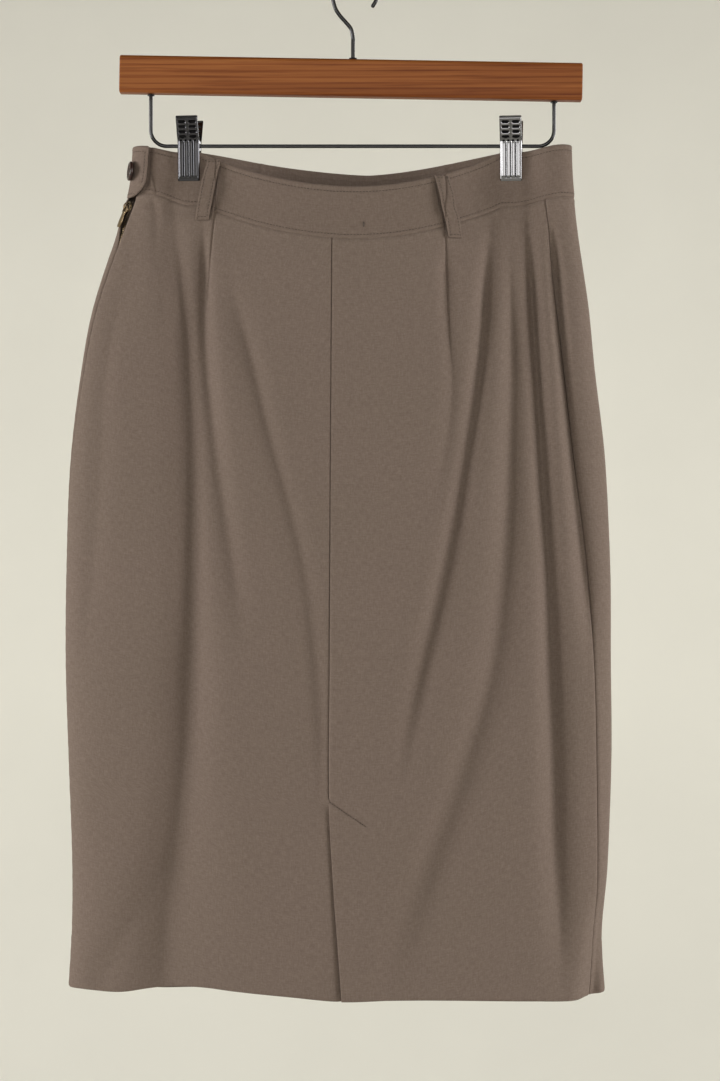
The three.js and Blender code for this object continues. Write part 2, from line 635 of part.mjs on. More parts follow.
function hookGeometry() {
  const radius = hook.inside + hook.wire / 2;
  const middle = -hook.inside;
  const foot = barMiddleAt(hook.stem) + bar.height / 2 + 0.35;
  const stem = [foot, foot + 9, -53.5].map((z) => new THREE.Vector3(hook.stem, 0, z));
  const sweep = [[-1.6, -46.5], [-5.9, -40.9], [-10.6, -35.6], [-14.2, -29.6]]
    .map(([x, z]) => new THREE.Vector3(x, 0, z));
  const bend = arc(hook.middle, middle, radius, 190, -38, 16);
  return rodAlong([...stem, ...sweep, ...bend], hook.wire, 8, 46);
}

function wireGeometry() {
  const w = wire;
  const under = (x) => barMiddleAt(x) - bar.height / 2 - 0.35;
  const left = [new THREE.Vector3(w.left, 0, under(w.left)), new THREE.Vector3(w.left, 0, -112)];
  const right = [new THREE.Vector3(w.right, 0, -116), new THREE.Vector3(w.right, 0, under(w.right))];
  const run = [-100, -40, 40, 100].map((x) => new THREE.Vector3(x, 0, w.level));
  return rodAlong([
    ...left, ...arc(w.left + w.bend, w.level + w.bend, w.bend, 180, 270, 5), ...run,
    ...arc(w.right - w.bend, w.level + w.bend, w.bend, 270, 360, 5), ...right,
  ], w.diameter, 8, 46);
}

function barGeometry() {
  const halfDepth = bar.depth / 2;
  const halfHeight = bar.height / 2;
  const r = bar.round;
  const section = new THREE.Shape();
  section.absarc(halfDepth - r, halfHeight - r, r, 0, Math.PI / 2, false);
  section.absarc(-halfDepth + r, halfHeight - r, r, Math.PI / 2, Math.PI, false);
  section.absarc(-halfDepth + r, -halfHeight + r, r, Math.PI, 1.5 * Math.PI, false);
  section.absarc(halfDepth - r, -halfHeight + r, r, 1.5 * Math.PI, 2 * Math.PI, false);
  const permute = new THREE.Matrix4().makeBasis(
    new THREE.Vector3(0, 1, 0), new THREE.Vector3(0, 0, 1), new THREE.Vector3(1, 0, 0),
  );
  return new THREE.ExtrudeGeometry(section, { depth: bar.length, bevelEnabled: false, curveSegments: 4 })
    .translate(0, 0, -bar.length / 2).applyMatrix4(permute);
}

// One jaw of a clip: a bent sheet whose two ears hang on the wire. way is -1 in front and 1 behind.
function jawGeometry(way, earX) {
  const c = clip;
  const tip = pressed + band.proud + 0.4;
  const inside = [
    [c.spread, c.handle], [c.pivotGap + 0.6, 3], [c.pivotGap, -1],
    [tip + 1.5, -14], [tip, -c.jaw + 4], [tip, -c.jaw],
  ];
  const outside = inside.map(([y, z]) => [y + c.sheet, z]).reverse();
  const profile = new THREE.Shape([...inside, ...outside].map(([y, z]) => new THREE.Vector2(way * y, z)));
  const permute = new THREE.Matrix4().makeBasis(
    new THREE.Vector3(0, 1, 0), new THREE.Vector3(0, 0, 1), new THREE.Vector3(1, 0, 0),
  );
  let solid = solidOf(new THREE.ExtrudeGeometry(profile, { depth: 2 * c.halfWidth, bevelEnabled: false })
    .translate(0, 0, -c.halfWidth).applyMatrix4(permute));
  for (const end of [-1, 1]) {
    const ear = boxAt(c.earThick, c.pivotGap + 3.9, 8, end * earX, (way * (c.pivotGap - 3.3)) / 2, 0);
    solid = solid.add(solidOf(ear));
  }
  const slot = boxAt(2 * earX + 4, 5.6, 2 * (wire.diameter / 2 + 0.35), 0, 0, 0);
  return geometryOf(solid.subtract(solidOf(slot)));
}

function springGeometry() {
  const inside = wire.diameter / 2 + 0.75;
  const outside = inside + 1.3;
  const half = 5;
  const profile = [[inside, -half], [outside, -half], [outside, half], [inside, half], [inside, -half]];
  return new THREE.LatheGeometry(profile.map(([x, y]) => new THREE.Vector2(x, y)), 12).rotateZ(-Math.PI / 2);
}

// Materials
const finish = (color, roughness, metalness = 0) => (
  new THREE.MeshStandardMaterial({ color, roughness, metalness })
);
const skirtCloth = finish(0x75675c, 0.9);
const horn = finish(0x3a2420, 0.35);
const brass = finish(0xb59a62, 0.3, 1);
const tape = finish(0x6a5c52, 0.9);
const wood = finish(0xa8683c, 0.45);
const chrome = finish(0xd8d8d8, 0.1, 1);

const model = new THREE.Group();
function addMesh(name, geometry, material, matrix = new THREE.Matrix4()) {
  const mesh = new THREE.Mesh(geometry, material);
  mesh.name = name;
  mesh.applyMatrix4(matrix);
  model.add(mesh);
  return mesh;
}

addMesh("skirt_back_left", backLeftGeometry(), skirtCloth);
addMesh("skirt_back_right", backRightGeometry(), skirtCloth);
addMesh("skirt_front", frontGeometry(), skirtCloth);
addMesh("waistband", bandGeometry(), skirtCloth);
for (const loop of loops) addMesh(loop.name, loopGeometry(loop), skirtCloth);

const buttonOut = band.proud + tabLiftAt(button.ring) + button.gap;
addMesh("waist_button", buttonGeometry(), horn, frameOn(button.ring, button.level, buttonOut));
addMesh("zip_tape", zipTapeGeometry(), tape);
const sliderFrame = frameOn(sliderRing, zip.sliderLevel, 0);
addMesh("zip_slider", sliderGeometry(), brass, sliderFrame);
const pinFrame = sliderFrame.clone().multiply(new THREE.Matrix4().makeTranslation(0, 0, slider.pin));
addMesh("zip_pull_tab", pullGeometry(), brass, pinFrame);

const barFrame = new THREE.Matrix4().makeRotationY(THREE.MathUtils.degToRad(bar.tilt))
  .setPosition(bar.middle, 0, bar.level);
addMesh("hanger_bar", barGeometry(), wood, barFrame);
addMesh("hanger_hook", hookGeometry(), chrome);
addMesh("hanger_wire", wireGeometry(), chrome);
for (const { name, x } of clips) {
  const frame = new THREE.Matrix4().makeRotationZ(THREE.MathUtils.degToRad(-clip.yaw))
    .setPosition(x, 0, wire.level);
  addMesh(`clip_${name}_front_jaw`, jawGeometry(-1, 8.2), chrome, frame);
  addMesh(`clip_${name}_back_jaw`, jawGeometry(1, 6.6), chrome, frame);
  addMesh(`clip_${name}_spring`, springGeometry(), chrome, new THREE.Matrix4().setPosition(x, 0, wire.level));
}

export default model;
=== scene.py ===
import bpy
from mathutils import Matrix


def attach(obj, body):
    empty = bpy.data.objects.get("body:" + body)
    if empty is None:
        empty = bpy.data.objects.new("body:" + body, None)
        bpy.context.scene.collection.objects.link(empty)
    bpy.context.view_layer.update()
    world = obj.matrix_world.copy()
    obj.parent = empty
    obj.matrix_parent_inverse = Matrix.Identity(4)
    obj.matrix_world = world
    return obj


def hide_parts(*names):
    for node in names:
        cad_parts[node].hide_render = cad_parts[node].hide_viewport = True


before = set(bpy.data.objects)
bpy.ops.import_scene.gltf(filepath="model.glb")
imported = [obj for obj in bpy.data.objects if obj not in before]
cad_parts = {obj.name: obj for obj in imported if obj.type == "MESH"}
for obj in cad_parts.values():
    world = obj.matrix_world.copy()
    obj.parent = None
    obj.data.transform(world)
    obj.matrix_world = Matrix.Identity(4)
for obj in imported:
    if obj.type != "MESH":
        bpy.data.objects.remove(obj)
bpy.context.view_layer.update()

import math
import bpy
import numpy as np

# A pencil skirt on a clip hanger, hung by its waistband and seen from the wearer's back.
# Shapes are worked out in millimetres and put into the meshes in metres.
mm = 0.001
fullTurn = 2 * math.pi
skirtBody, pullBody = "skirt_on_hanger", "pull_tab"
print("stage 1: frame loaded,", len(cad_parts), "nodes")


def addObject(name, data):  # a new object in the scene, holding a mesh, a light or a camera
    made = bpy.data.objects.new(name, data)
    bpy.context.scene.collection.objects.link(made)
    return made


# ---- camera ----
view = {"x": 5.6, "y": -2000, "z": -455.6, "heightSeen": 864.8, "longSide": 36}

cameraData = bpy.data.cameras.new("studioCamera")
cameraData.sensor_width = view["longSide"]
cameraData.lens = view["longSide"] * abs(view["y"]) / view["heightSeen"]
camera = addObject("studioCamera", cameraData)
camera.location = (view["x"] * mm, view["y"] * mm, view["z"] * mm)
camera.rotation_euler = (math.radians(90), 0, 0)
bpy.context.scene.camera = camera


# ---- small sums used by every piece ----
def rampUp(start, end, at):  # a smooth step, 0 at start and 1 at end
    share = np.clip((at - start) / (end - start), 0, 1)
    return share * share * (3 - 2 * share)


def bell(distance, width):  # 1 at distance 0, dying away over width
    return np.exp(-(distance / width) ** 2)


def mix(first, second, share):
    return first + (second - first) * share


def unit(vectors):
    return vectors / np.linalg.norm(vectors, axis=-1, keepdims=True)


def pointsOf(*axes):  # one array for each axis put together as points
    return np.stack(np.broadcast_arrays(*axes), -1)


def anglesRound(count):  # evenly spaced round a full turn
    return np.arange(count) * fullTurn / count


def table(names, *rows):  # a table's rows as one array for each named column
    return dict(zip(names.split(), np.array(rows, dtype=float).T))


# A smooth curve through the rows of a table: a cubic from row to row, whose slope at a row comes
# from the rows on either side of it.
def curveThrough(places, values, at):
    order = np.argsort(places)
    key, value = np.asarray(places, float)[order], np.asarray(values, float)[order]
    before, after = np.r_[0, np.arange(len(key) - 1)], np.r_[np.arange(1, len(key)), len(key) - 1]
    slope = (value[after] - value[before]) / (key[after] - key[before])
    at = np.clip(at, key[0], key[-1])
    row = np.clip(np.searchsorted(key, at, side="right") - 1, 0, len(key) - 2)
    step = key[row + 1] - key[row]
    t = (at - key[row]) / step
    return ((2 * t ** 3 - 3 * t ** 2 + 1) * value[row] + (t ** 3 - 2 * t ** 2 + t) * step * slope[row]
            + (3 * t ** 2 - 2 * t ** 3) * value[row + 1] + (t ** 3 - t ** 2) * step * slope[row + 1])


def evenly(t):
    return 1.0


# Shares from 0 to 1, closer together round each spot, a (place, extra, width).
def fractions(count, *spots, weight=evenly):
    fine = np.linspace(0, 1, 3001)
    high = weight(fine) + sum(extra * bell(fine - place, width) for place, extra, width in spots)
    sums = np.r_[0, np.cumsum((high[1:] + high[:-1]) / 2)]
    return np.interp(np.linspace(0, sums[-1], count), sums, fine)


def lengthsAlong(points, axis):  # running length of a grid of points along its rows or columns
    steps = np.linalg.norm(np.diff(points, axis=axis), axis=-1)
    start = np.zeros_like(np.take(steps, [0], axis=axis))
    return np.concatenate([start, np.cumsum(steps, axis=axis)], axis=axis)


def onLine(line, run, at):  # points of a line at these running lengths
    return pointsOf(*(np.interp(at, run, line[:, k]) for k in range(3)))


# ---- meshes from grids of points ----
def gridFaces(rows, columns, wrapRows=False, wrapColumns=False):
    row = np.arange(rows if wrapRows else rows - 1)[:, None]
    column = np.arange(columns if wrapColumns else columns - 1)[None, :]
    nextRow, nextColumn = (row + 1) % rows, (column + 1) % columns
    return pointsOf(row * columns + column, nextRow * columns + column,
                    nextRow * columns + nextColumn, row * columns + nextColumn).reshape(-1, 4)


def signedVolume(points, faces):  # above 0 where the faces of a closed mesh point outwards
    total = 0.0
    for size in {len(face) for face in faces}:
        corner = points[np.array([face for face in faces if len(face) == size])]
        for k in range(1, size - 1):
            total += np.einsum("ij,ij->i", corner[:, 0], np.cross(corner[:, k], corner[:, k + 1])).sum()
    return total


def newMesh(name, points, faces, materials):
    mesh = bpy.data.meshes.new(name)
    mesh.from_pydata(points.reshape(-1, 3) * mm, [], faces)
    for material in materials:
        mesh.materials.append(material)
    mesh.shade_smooth()
    return mesh


# Puts parts into one mesh. Each is (points in mm, faces, uv or None) and closed by itself, and one
# that came out inside out is turned round. materialOf gives each part's or face's material.
def addPiece(name, parts, materials, replaces=(), body=skirtBody, materialOf=None):
    allPoints, allFaces, allUv, allMaterials = [], [], [], []
    start = 0
    for number, (points, faces, uv) in enumerate(parts):
        points = np.asarray(points, float).reshape(-1, 3)
        if signedVolume(points, faces) < 0:
            faces = [face[::-1] for face in faces]
        allPoints.append(points)
        allFaces += [[corner + start for corner in face] for face in faces]
        allUv.append(np.zeros((len(points), 2)) if uv is None else uv.reshape(-1, 2))
        allMaterials += np.broadcast_to(materialOf[number] if materialOf else 0, len(faces)).tolist()
        start += len(points)
    mesh = newMesh(name, np.concatenate(allPoints), allFaces, materials)
    corners = np.zeros(len(mesh.loops), dtype=np.int32)
    mesh.loops.foreach_get("vertex_index", corners)
    uvLayer = mesh.uv_layers.new(name="cloth")
    uvLayer.data.foreach_set("uv", (np.concatenate(allUv) * mm)[corners].astype(np.float32).ravel())
    mesh.polygons.foreach_set("material_index", np.array(allMaterials, dtype=np.int32))
    mesh.update()
    piece = addObject(name, mesh)
    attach(piece, body)
    if replaces:
        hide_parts(*replaces)
    return piece


# A closed sheet: a grid of outer points and the same grid moved in by the wall, joined round its
# foot and its top by half circles and at both sides by strips. Rows run down the sheet.
def sheetPart(outer, outward, wall, rimSteps=3):
    rows, columns = outer.shape[:2]
    wall = np.broadcast_to(wall, (rows, columns))[..., None]
    inner = outer - outward * wall
    turn = (np.arange(1, rimSteps + 1) * math.pi / (rimSteps + 1))[:, None, None]

    def rim(row, away):
        middle, half = (outer[row] + inner[row]) / 2, wall[row] / 2
        return middle + half * (np.cos(turn) * outward[row] + np.sin(turn) * away)

    foot = rim(-1, unit(outer[-1] - outer[-2]))
    top = rim(0, unit(outer[0] - outer[1]))[::-1]
    loop = np.concatenate([outer, foot, inner[::-1], top])
    count = len(loop)
    faces = gridFaces(count, columns, wrapRows=True).tolist()
    partner = (2 * rows + rimSteps - 1 - np.arange(count)) % count
    for j in range(-(rimSteps + 1) // 2, rows + (rimSteps - 1) // 2):
        a, b = j % count, (j + 1) % count
        for column, way in ((0, -1), (columns - 1, 1)):
            strip = [int(k) * columns + column for k in dict.fromkeys([a, b, partner[b], partner[a]])]
            faces.append(strip[::way])
    across = lengthsAlong(outer, 1)
    uv = pointsOf(across - across[:, -1:] / 2, -lengthsAlong(outer, 0))
    uv = np.concatenate([uv, np.repeat(uv[-1:], rimSteps, 0), uv[::-1], np.repeat(uv[:1], rimSteps, 0)])
    return loop, faces, uv


def stackFaces(count, around):  # loops stacked along a path, with a flat face at each end
    ends = [list(range(around))[::-1], list(range((count - 1) * around, count * around))]
    return gridFaces(count, around, wrapColumns=True).tolist() + ends


def stackPart(loops):
    return loops, stackFaces(*loops.shape[:2]), None


def ringPart(loops):  # closed loops round a hole, the last one joined to the first
    return loops, gridFaces(*loops.shape[:2], wrapRows=True, wrapColumns=True).tolist(), None


# A rod: circles carried along a path, square to it and turned about it by side, with rounded ends.
def rodPart(path, side, radius, around=14, endSteps=4):
    along = unit(np.gradient(path, axis=0))
    bend = np.linspace(0, 0.49 * math.pi, endSteps)[:, None]

    def withEnds(values):  # each end's value repeated for its rounding
        first, last = np.repeat(values[:1], endSteps, 0), np.repeat(values[-1:], endSteps, 0)
        return np.concatenate([first, values[1:-1], last])

    radii = np.concatenate([np.cos(bend[::-1]), np.ones((len(path) - 2, 1)), np.cos(bend)]) * radius
    past = np.concatenate([-np.sin(bend[::-1]), np.zeros((len(path) - 2, 1)), np.sin(bend)]) * radius
    way = withEnds(along)
    centres = withEnds(path) + way * past
    side = withEnds(np.broadcast_to(side, path.shape))
    across = unit(side - way * np.sum(side * way, -1, keepdims=True))
    third = np.cross(way, across)
    angle = anglesRound(around)[None, :, None]
    return stackPart(centres[:, None] + radii[:, None] * (np.cos(angle) * across[:, None]
                                                          + np.sin(angle) * third[:, None]))


# Short rounded bars, such as stitches and zip teeth: one small shape set at every centre.
barShape = table("station thickness", (-1, 0.3), (-0.86, 0.8), (-0.4, 1), (0.4, 1), (0.86, 0.8), (1, 0.3))


def barsPart(centres, along, outward, size, around=6):
    length, width, height = size
    station, thickness = barShape["station"][:, None] * length / 2, barShape["thickness"][:, None] / 2
    angle = anglesRound(around)
    local = pointsOf(station, thickness * width * np.cos(angle), thickness * height * np.sin(angle))
    axes = np.stack([along, unit(np.cross(outward, along)), outward], 1)
    points = centres[:, None] + np.einsum("kj,nji->nki", local.reshape(-1, 3), axes)
    one = stackFaces(*local.shape[:2])
    faces = [[corner + n * points.shape[1] for corner in face] for n in range(len(centres)) for face in one]
    return points, faces, None


# Stitches along a line of points on the cloth, one every pitch.
def stitchPart(line, outward, stitch):
    run = lengthsAlong(line, 0)
    at = np.arange(stitch["pitch"] / 2, run[-1], stitch["pitch"])
    normal = unit(onLine(outward, run, at))
    ahead = onLine(line, run, at + 0.5) - onLine(line, run, at - 0.5)
    along = unit(ahead - normal * np.sum(ahead * normal, -1, keepdims=True))
    size = (stitch["pitch"] * stitch["share"], stitch["width"], stitch["height"])
    return barsPart(onLine(line, run, at) + normal * stitch["height"] * 0.15, along, normal, size)


def movedParts(parts, axes, origin):  # parts made in a frame of their own, set in their place
    return [(np.asarray(points).reshape(-1, 3) @ axes + origin, faces, uv) for points, faces, uv in parts]


# ---- materials ----
def linear(colour):  # sRGB hex to linear red, green, blue, alpha
    channels = [int(colour[k:k + 2], 16) / 255 for k in (1, 3, 5)]
    return [c / 12.92 if c <= 0.04045 else ((c + 0.055) / 1.055) ** 2.4 for c in channels] + [1.0]


# Adds a node with its settings, values and links. A node given as a value links its first output.
def addNode(tree, kind, sockets=None, **settings):
    node = tree.nodes.new(kind)
    for name, value in settings.items():
        setattr(node, name, value)
    for name, value in (sockets or {}).items():
        if isinstance(value, bpy.types.Node):
            value = value.outputs[0]
        if isinstance(value, bpy.types.NodeSocket):
            tree.links.new(value, node.inputs[name])
        else:
            node.inputs[name].default_value = value
    return node


def newMaterial(name):  # with the outputs that give a place in the object and on its uv map
    material = bpy.data.materials.new(name)
    material.use_nodes = True
    tree = material.node_tree
    tree.nodes.clear()
    place = addNode(tree, "ShaderNodeTexCoord").outputs
    return material, tree, place["Object"], place["UV"]


def finishMaterial(material, tree, sockets):
    addNode(tree, "ShaderNodeOutputMaterial", {"Surface": addNode(tree, "ShaderNodeBsdfPrincipled", sockets)})
    return material


def rampOf(tree, factor, *stops):
    node = addNode(tree, "ShaderNodeValToRGB", {"Fac": factor})
    for k, (place, colour) in enumerate(stops):
        element = node.color_ramp.elements[k] if k < 2 else node.color_ramp.elements.new(place)
        element.position = place
        element.color = linear(colour)
    return node


def multiplied(tree, first, second, share):  # one colour darkened by another
    return addNode(tree, "ShaderNodeMix", {"Factor": share, "A": first, "B": second}, data_type="RGBA",
                   blend_type="MULTIPLY").outputs["Result"]


# Wool flannel, woven and brushed: yarns 0.7 mm apart of slightly different taupes, drawn at 1.1 mm so
# that they show, under a short nap that hides most of the weave and lightens the cloth at its edges.
def woolFlannel(name, dark, middle, light):
    material, tree, inObject, onUv = newMaterial(name)
    warpPlace = addNode(tree, "ShaderNodeMapping", {"Vector": onUv, "Scale": (900, 200, 1)})
    weftPlace = addNode(tree, "ShaderNodeMapping", {"Vector": onUv, "Scale": (200, 900, 1)})
    warp = addNode(tree, "ShaderNodeTexNoise", {"Vector": warpPlace, "Scale": 1.0, "Detail": 1.0})
    weft = addNode(tree, "ShaderNodeTexNoise", {"Vector": weftPlace, "Scale": 1.0, "Detail": 1.0})
    nap = addNode(tree, "ShaderNodeTexNoise", {"Vector": inObject, "Scale": 900.0, "Detail": 3.0})
    cloud = addNode(tree, "ShaderNodeTexNoise", {"Vector": inObject, "Scale": 11.0, "Detail": 3.0})
    yarns = addNode(tree, "ShaderNodeMath", {0: warp, 1: weft}, operation="ADD")
    heather = addNode(tree, "ShaderNodeMath", {0: yarns, 1: nap}, operation="ADD")
    third = addNode(tree, "ShaderNodeMath", {0: heather, 1: 1 / 3}, operation="MULTIPLY")
    colour = rampOf(tree, third, (0.36, dark), (0.64, light), (0.5, middle))
    patch = addNode(tree, "ShaderNodeMix", {"Factor": cloud.outputs["Fac"], "A": linear("#FAFAF6"),
                                            "B": linear("#FFFCFC")}, data_type="RGBA")
    tinted = multiplied(tree, colour, patch.outputs["Result"], 1.0)
    bump = addNode(tree, "ShaderNodeBump", {"Height": third, "Strength": 0.25, "Distance": 0.0004})
    return finishMaterial(material, tree, {
        "Base Color": tinted, "Roughness": 0.95, "Specular IOR Level": 0.15, "Sheen Weight": 0.12,
        "Sheen Roughness": 0.5, "Sheen Tint": linear("#D8CCC2"), "Normal": bump})


# Spun polyester thread, twisted: a touch darker than the cloth, with a faint gloss.
def sewingThread(name, dark, light):
    material, tree, inObject, onUv = newMaterial(name)
    ply = addNode(tree, "ShaderNodeTexNoise", {"Vector": inObject, "Scale": 1400.0, "Detail": 1.0})
    bump = addNode(tree, "ShaderNodeBump", {"Height": ply, "Strength": 0.3, "Distance": 0.0002})
    shade = rampOf(tree, ply, (0.3, dark), (0.7, light))
    return finishMaterial(material, tree, {"Base Color": shade, "Roughness": 0.6, "Normal": bump})


# Woven polyester zip tape: flat and close, ribbed across every 0.6 mm, a shade darker than the wool.
def zipTape(name):
    material, tree, inObject, onUv = newMaterial(name)
    rib = addNode(tree, "ShaderNodeTexWave", {"Vector": onUv, "Scale": 260.0, "Distortion": 0.4},
                  wave_type="BANDS", bands_direction="Y").outputs["Fac"]
    colour = rampOf(tree, rib, (0.0, "#54483F"), (1.0, "#6A5C52"))
    bump = addNode(tree, "ShaderNodeBump", {"Height": rib, "Strength": 0.4, "Distance": 0.0002})
    return finishMaterial(material, tree, {"Base Color": colour, "Roughness": 0.8, "Normal": bump})


# Beech bar stained light cherry and varnished: fine grain along the bar, darker growth lines 3 to
# 6 mm apart, short dark flecks, and a soft gloss of the varnish.
def stainedBeech(name):
    material, tree, inObject, onUv = newMaterial(name)
    longPlace = addNode(tree, "ShaderNodeMapping", {"Vector": inObject, "Scale": (2.2, 60, 60)})
    finePlace = addNode(tree, "ShaderNodeMapping", {"Vector": inObject, "Scale": (14, 700, 700)})
    broad = addNode(tree, "ShaderNodeTexNoise", {"Vector": longPlace, "Scale": 1.6, "Detail": 4.0,
                                                 "Distortion": 0.6})
    rings = addNode(tree, "ShaderNodeTexWave", {"Vector": longPlace, "Scale": 1.1, "Distortion": 3.5,
                                                "Detail": 3.0, "Detail Scale": 1.2},
                    wave_type="BANDS", bands_direction="Z").outputs["Fac"]
    fine = addNode(tree, "ShaderNodeTexNoise", {"Vector": finePlace, "Scale": 1.0, "Detail": 3.0})
    tone = rampOf(tree, broad, (0.32, "#84491D"), (0.68, "#9E602F"))
    lines = rampOf(tree, rings, (0.0, "#D9BFA6"), (0.4, "#FFFFFF"))
    flecks = rampOf(tree, fine, (0.33, "#B99878"), (0.5, "#FFFFFF"))
    grained = multiplied(tree, tone, lines, 0.75)
    flecked = multiplied(tree, grained, flecks, 0.55)
    bump = addNode(tree, "ShaderNodeBump", {"Height": fine, "Strength": 0.12, "Distance": 0.0002})
    return finishMaterial(material, tree, {"Base Color": flecked, "Roughness": 0.5,
                                           "Specular IOR Level": 0.25, "Normal": bump})


# Chrome plate on steel: a near mirror, its gloss broken by faint wiping marks. Its colour is set darker than
# bare chrome, painted shade that stands for a dim room seen in its reflections, so that it reads against the
# pale paper.
def chromePlate(name, colour, roughness):
    material, tree, inObject, onUv = newMaterial(name)
    haze = addNode(tree, "ShaderNodeTexNoise", {"Vector": inObject, "Scale": 180.0, "Detail": 3.0})
    spread = addNode(tree, "ShaderNodeMapRange", {"Value": haze, "To Min": roughness * 0.7,
                                                  "To Max": roughness * 1.5})
    return finishMaterial(material, tree, {
        "Base Color": linear(colour), "Metallic": 1.0, "Roughness": spread})


# Zip brass, stamped and tumbled: warm yellow grey, duller in random patches.
def zipBrass(name):
    material, tree, inObject, onUv = newMaterial(name)
    tarnish = addNode(tree, "ShaderNodeTexNoise", {"Vector": inObject, "Scale": 260.0, "Detail": 4.0})
    colour = rampOf(tree, tarnish, (0.35, "#73634A"), (0.65, "#AA967A"))
    return finishMaterial(material, tree, {"Base Color": colour, "Metallic": 1.0, "Roughness": 0.3})


# Imitation horn, cast polyester: dark red brown with lighter streaks and a polished face.
def castHorn(name):
    material, tree, inObject, onUv = newMaterial(name)
    streak = addNode(tree, "ShaderNodeTexNoise", {"Vector": inObject, "Scale": 240.0, "Detail": 3.0,
                                                  "Distortion": 1.8})
    colour = rampOf(tree, streak, (0.35, "#22120F"), (0.7, "#432A23"))
    return finishMaterial(material, tree, {"Base Color": colour, "Roughness": 0.32, "Coat Weight": 0.15,
                                           "Coat Roughness": 0.1})


woolSkirt = woolFlannel("woolFlannelTaupe", "#776961", "#7F7169", "#877971")
woolBand = woolFlannel("woolFlannelBand", "#74665E", "#7C6E66", "#84766E")
threadTaupe = sewingThread("sewingThreadTaupe", "#443831", "#5C4E45")
tapeWoven = zipTape("zipTapeWoven")
beechStained = stainedBeech("beechStainedCherry")
chromeWire = chromePlate("chromePlatedWire", "#424244", 0.10)
# One chrome in two copies: the left clip's darker as painted shade, the right clip's lighter as a painted
# bright reflection.
chromeSheets = {"left": chromePlate("chromePlatedSheetPaintedShade", "#545458", 0.2),  # it faces the darker side
                "right": chromePlate("chromePlatedSheetPaintedReflection", "#87878A", 0.13)}
# Near-black chrome for the jaws' recesses: painted shade standing for the shadow in their slots and grooves.
chromeShade = chromePlate("chromePaintedGrooveShade", "#1C1C1E", 0.35)
brassZip = zipBrass("zipBrassTumbled")
hornCast = castHorn("imitationHornCast")
print("stage 2: materials made")

# ---- the form of the cloth ----
# Near is the wearer's back, towards the camera, and far is the front. ring is the place round the
# skirt: 0 at the left outline, 2 at the right one, and on over the far side back to 4.
skirt = {
    "wall": 1.15, "hemWall": 1.9, "seamGap": 0.3, "hemDepth": 40, "lengthAtSides": 676,
    "sections": table(
        "z left right near far squareLeft squareRight",
        (-130, -173.4, 174.0, 18, 15, 3.2, 3.0),
        (-163, -175.4, 175.2, 20, 16, 3.2, 3.0),
        (-181, -178.6, 176.6, 21, 17, 3.2, 3.0),
        (-197, -184.4, 178.2, 22, 17, 3.0, 3.0),
        (-231, -196.8, 182.8, 25, 18, 2.8, 2.9),
        (-271, -208.8, 188.4, 28, 19, 2.6, 2.8),
        (-311, -216.1, 192.6, 31, 21, 2.4, 2.7),
        (-391, -225.7, 201.4, 35, 24, 2.2, 2.6),
        (-471, -228.9, 205.4, 38, 26, 2.2, 2.7),
        (-551, -229.7, 206.2, 40, 27, 2.2, 2.9),
        (-631, -227.3, 206.2, 41, 28, 2.2, 3.2),
        (-711, -224.5, 203.4, 41, 29, 2.2, 3.6),
        (-771, -224.9, 198.4, 41, 29, 2.2, 4.0),
        (-830, -228.5, 202.0, 40, 29, 2.2, 4.2)),
    "seams": table(
        "z back side inset",
        (-170, -16.4, 151.2, 4.6),
        (-231, -16.8, 158.4, 4.6),
        (-311, -17.3, 166.9, 2.6),
        (-391, -17.8, 175.4, 1.0),
        (-471, -18.2, 184.9, 0.4),
        (-551, -18.6, 191.2, 0.3),
        (-661, -19.0, 193.4, 0.3),
        (-731, -15.4, 193.5, 0.3),
        (-771, -12.4, 190.6, 0.3),
        (-830, -8.2, 187.0, 0.3)),
    "hem": table(
        "x rise", (205, 3), (185, 0), (176, -1.6), (142, -0.8), (60, 0.2), (-10, -0.8), (-50, 2.7),
        (-95, 6.4), (-118, 8.4), (-140, 8.2), (-162, 6.6), (-185, 4.2), (-218, 5.2)),
}
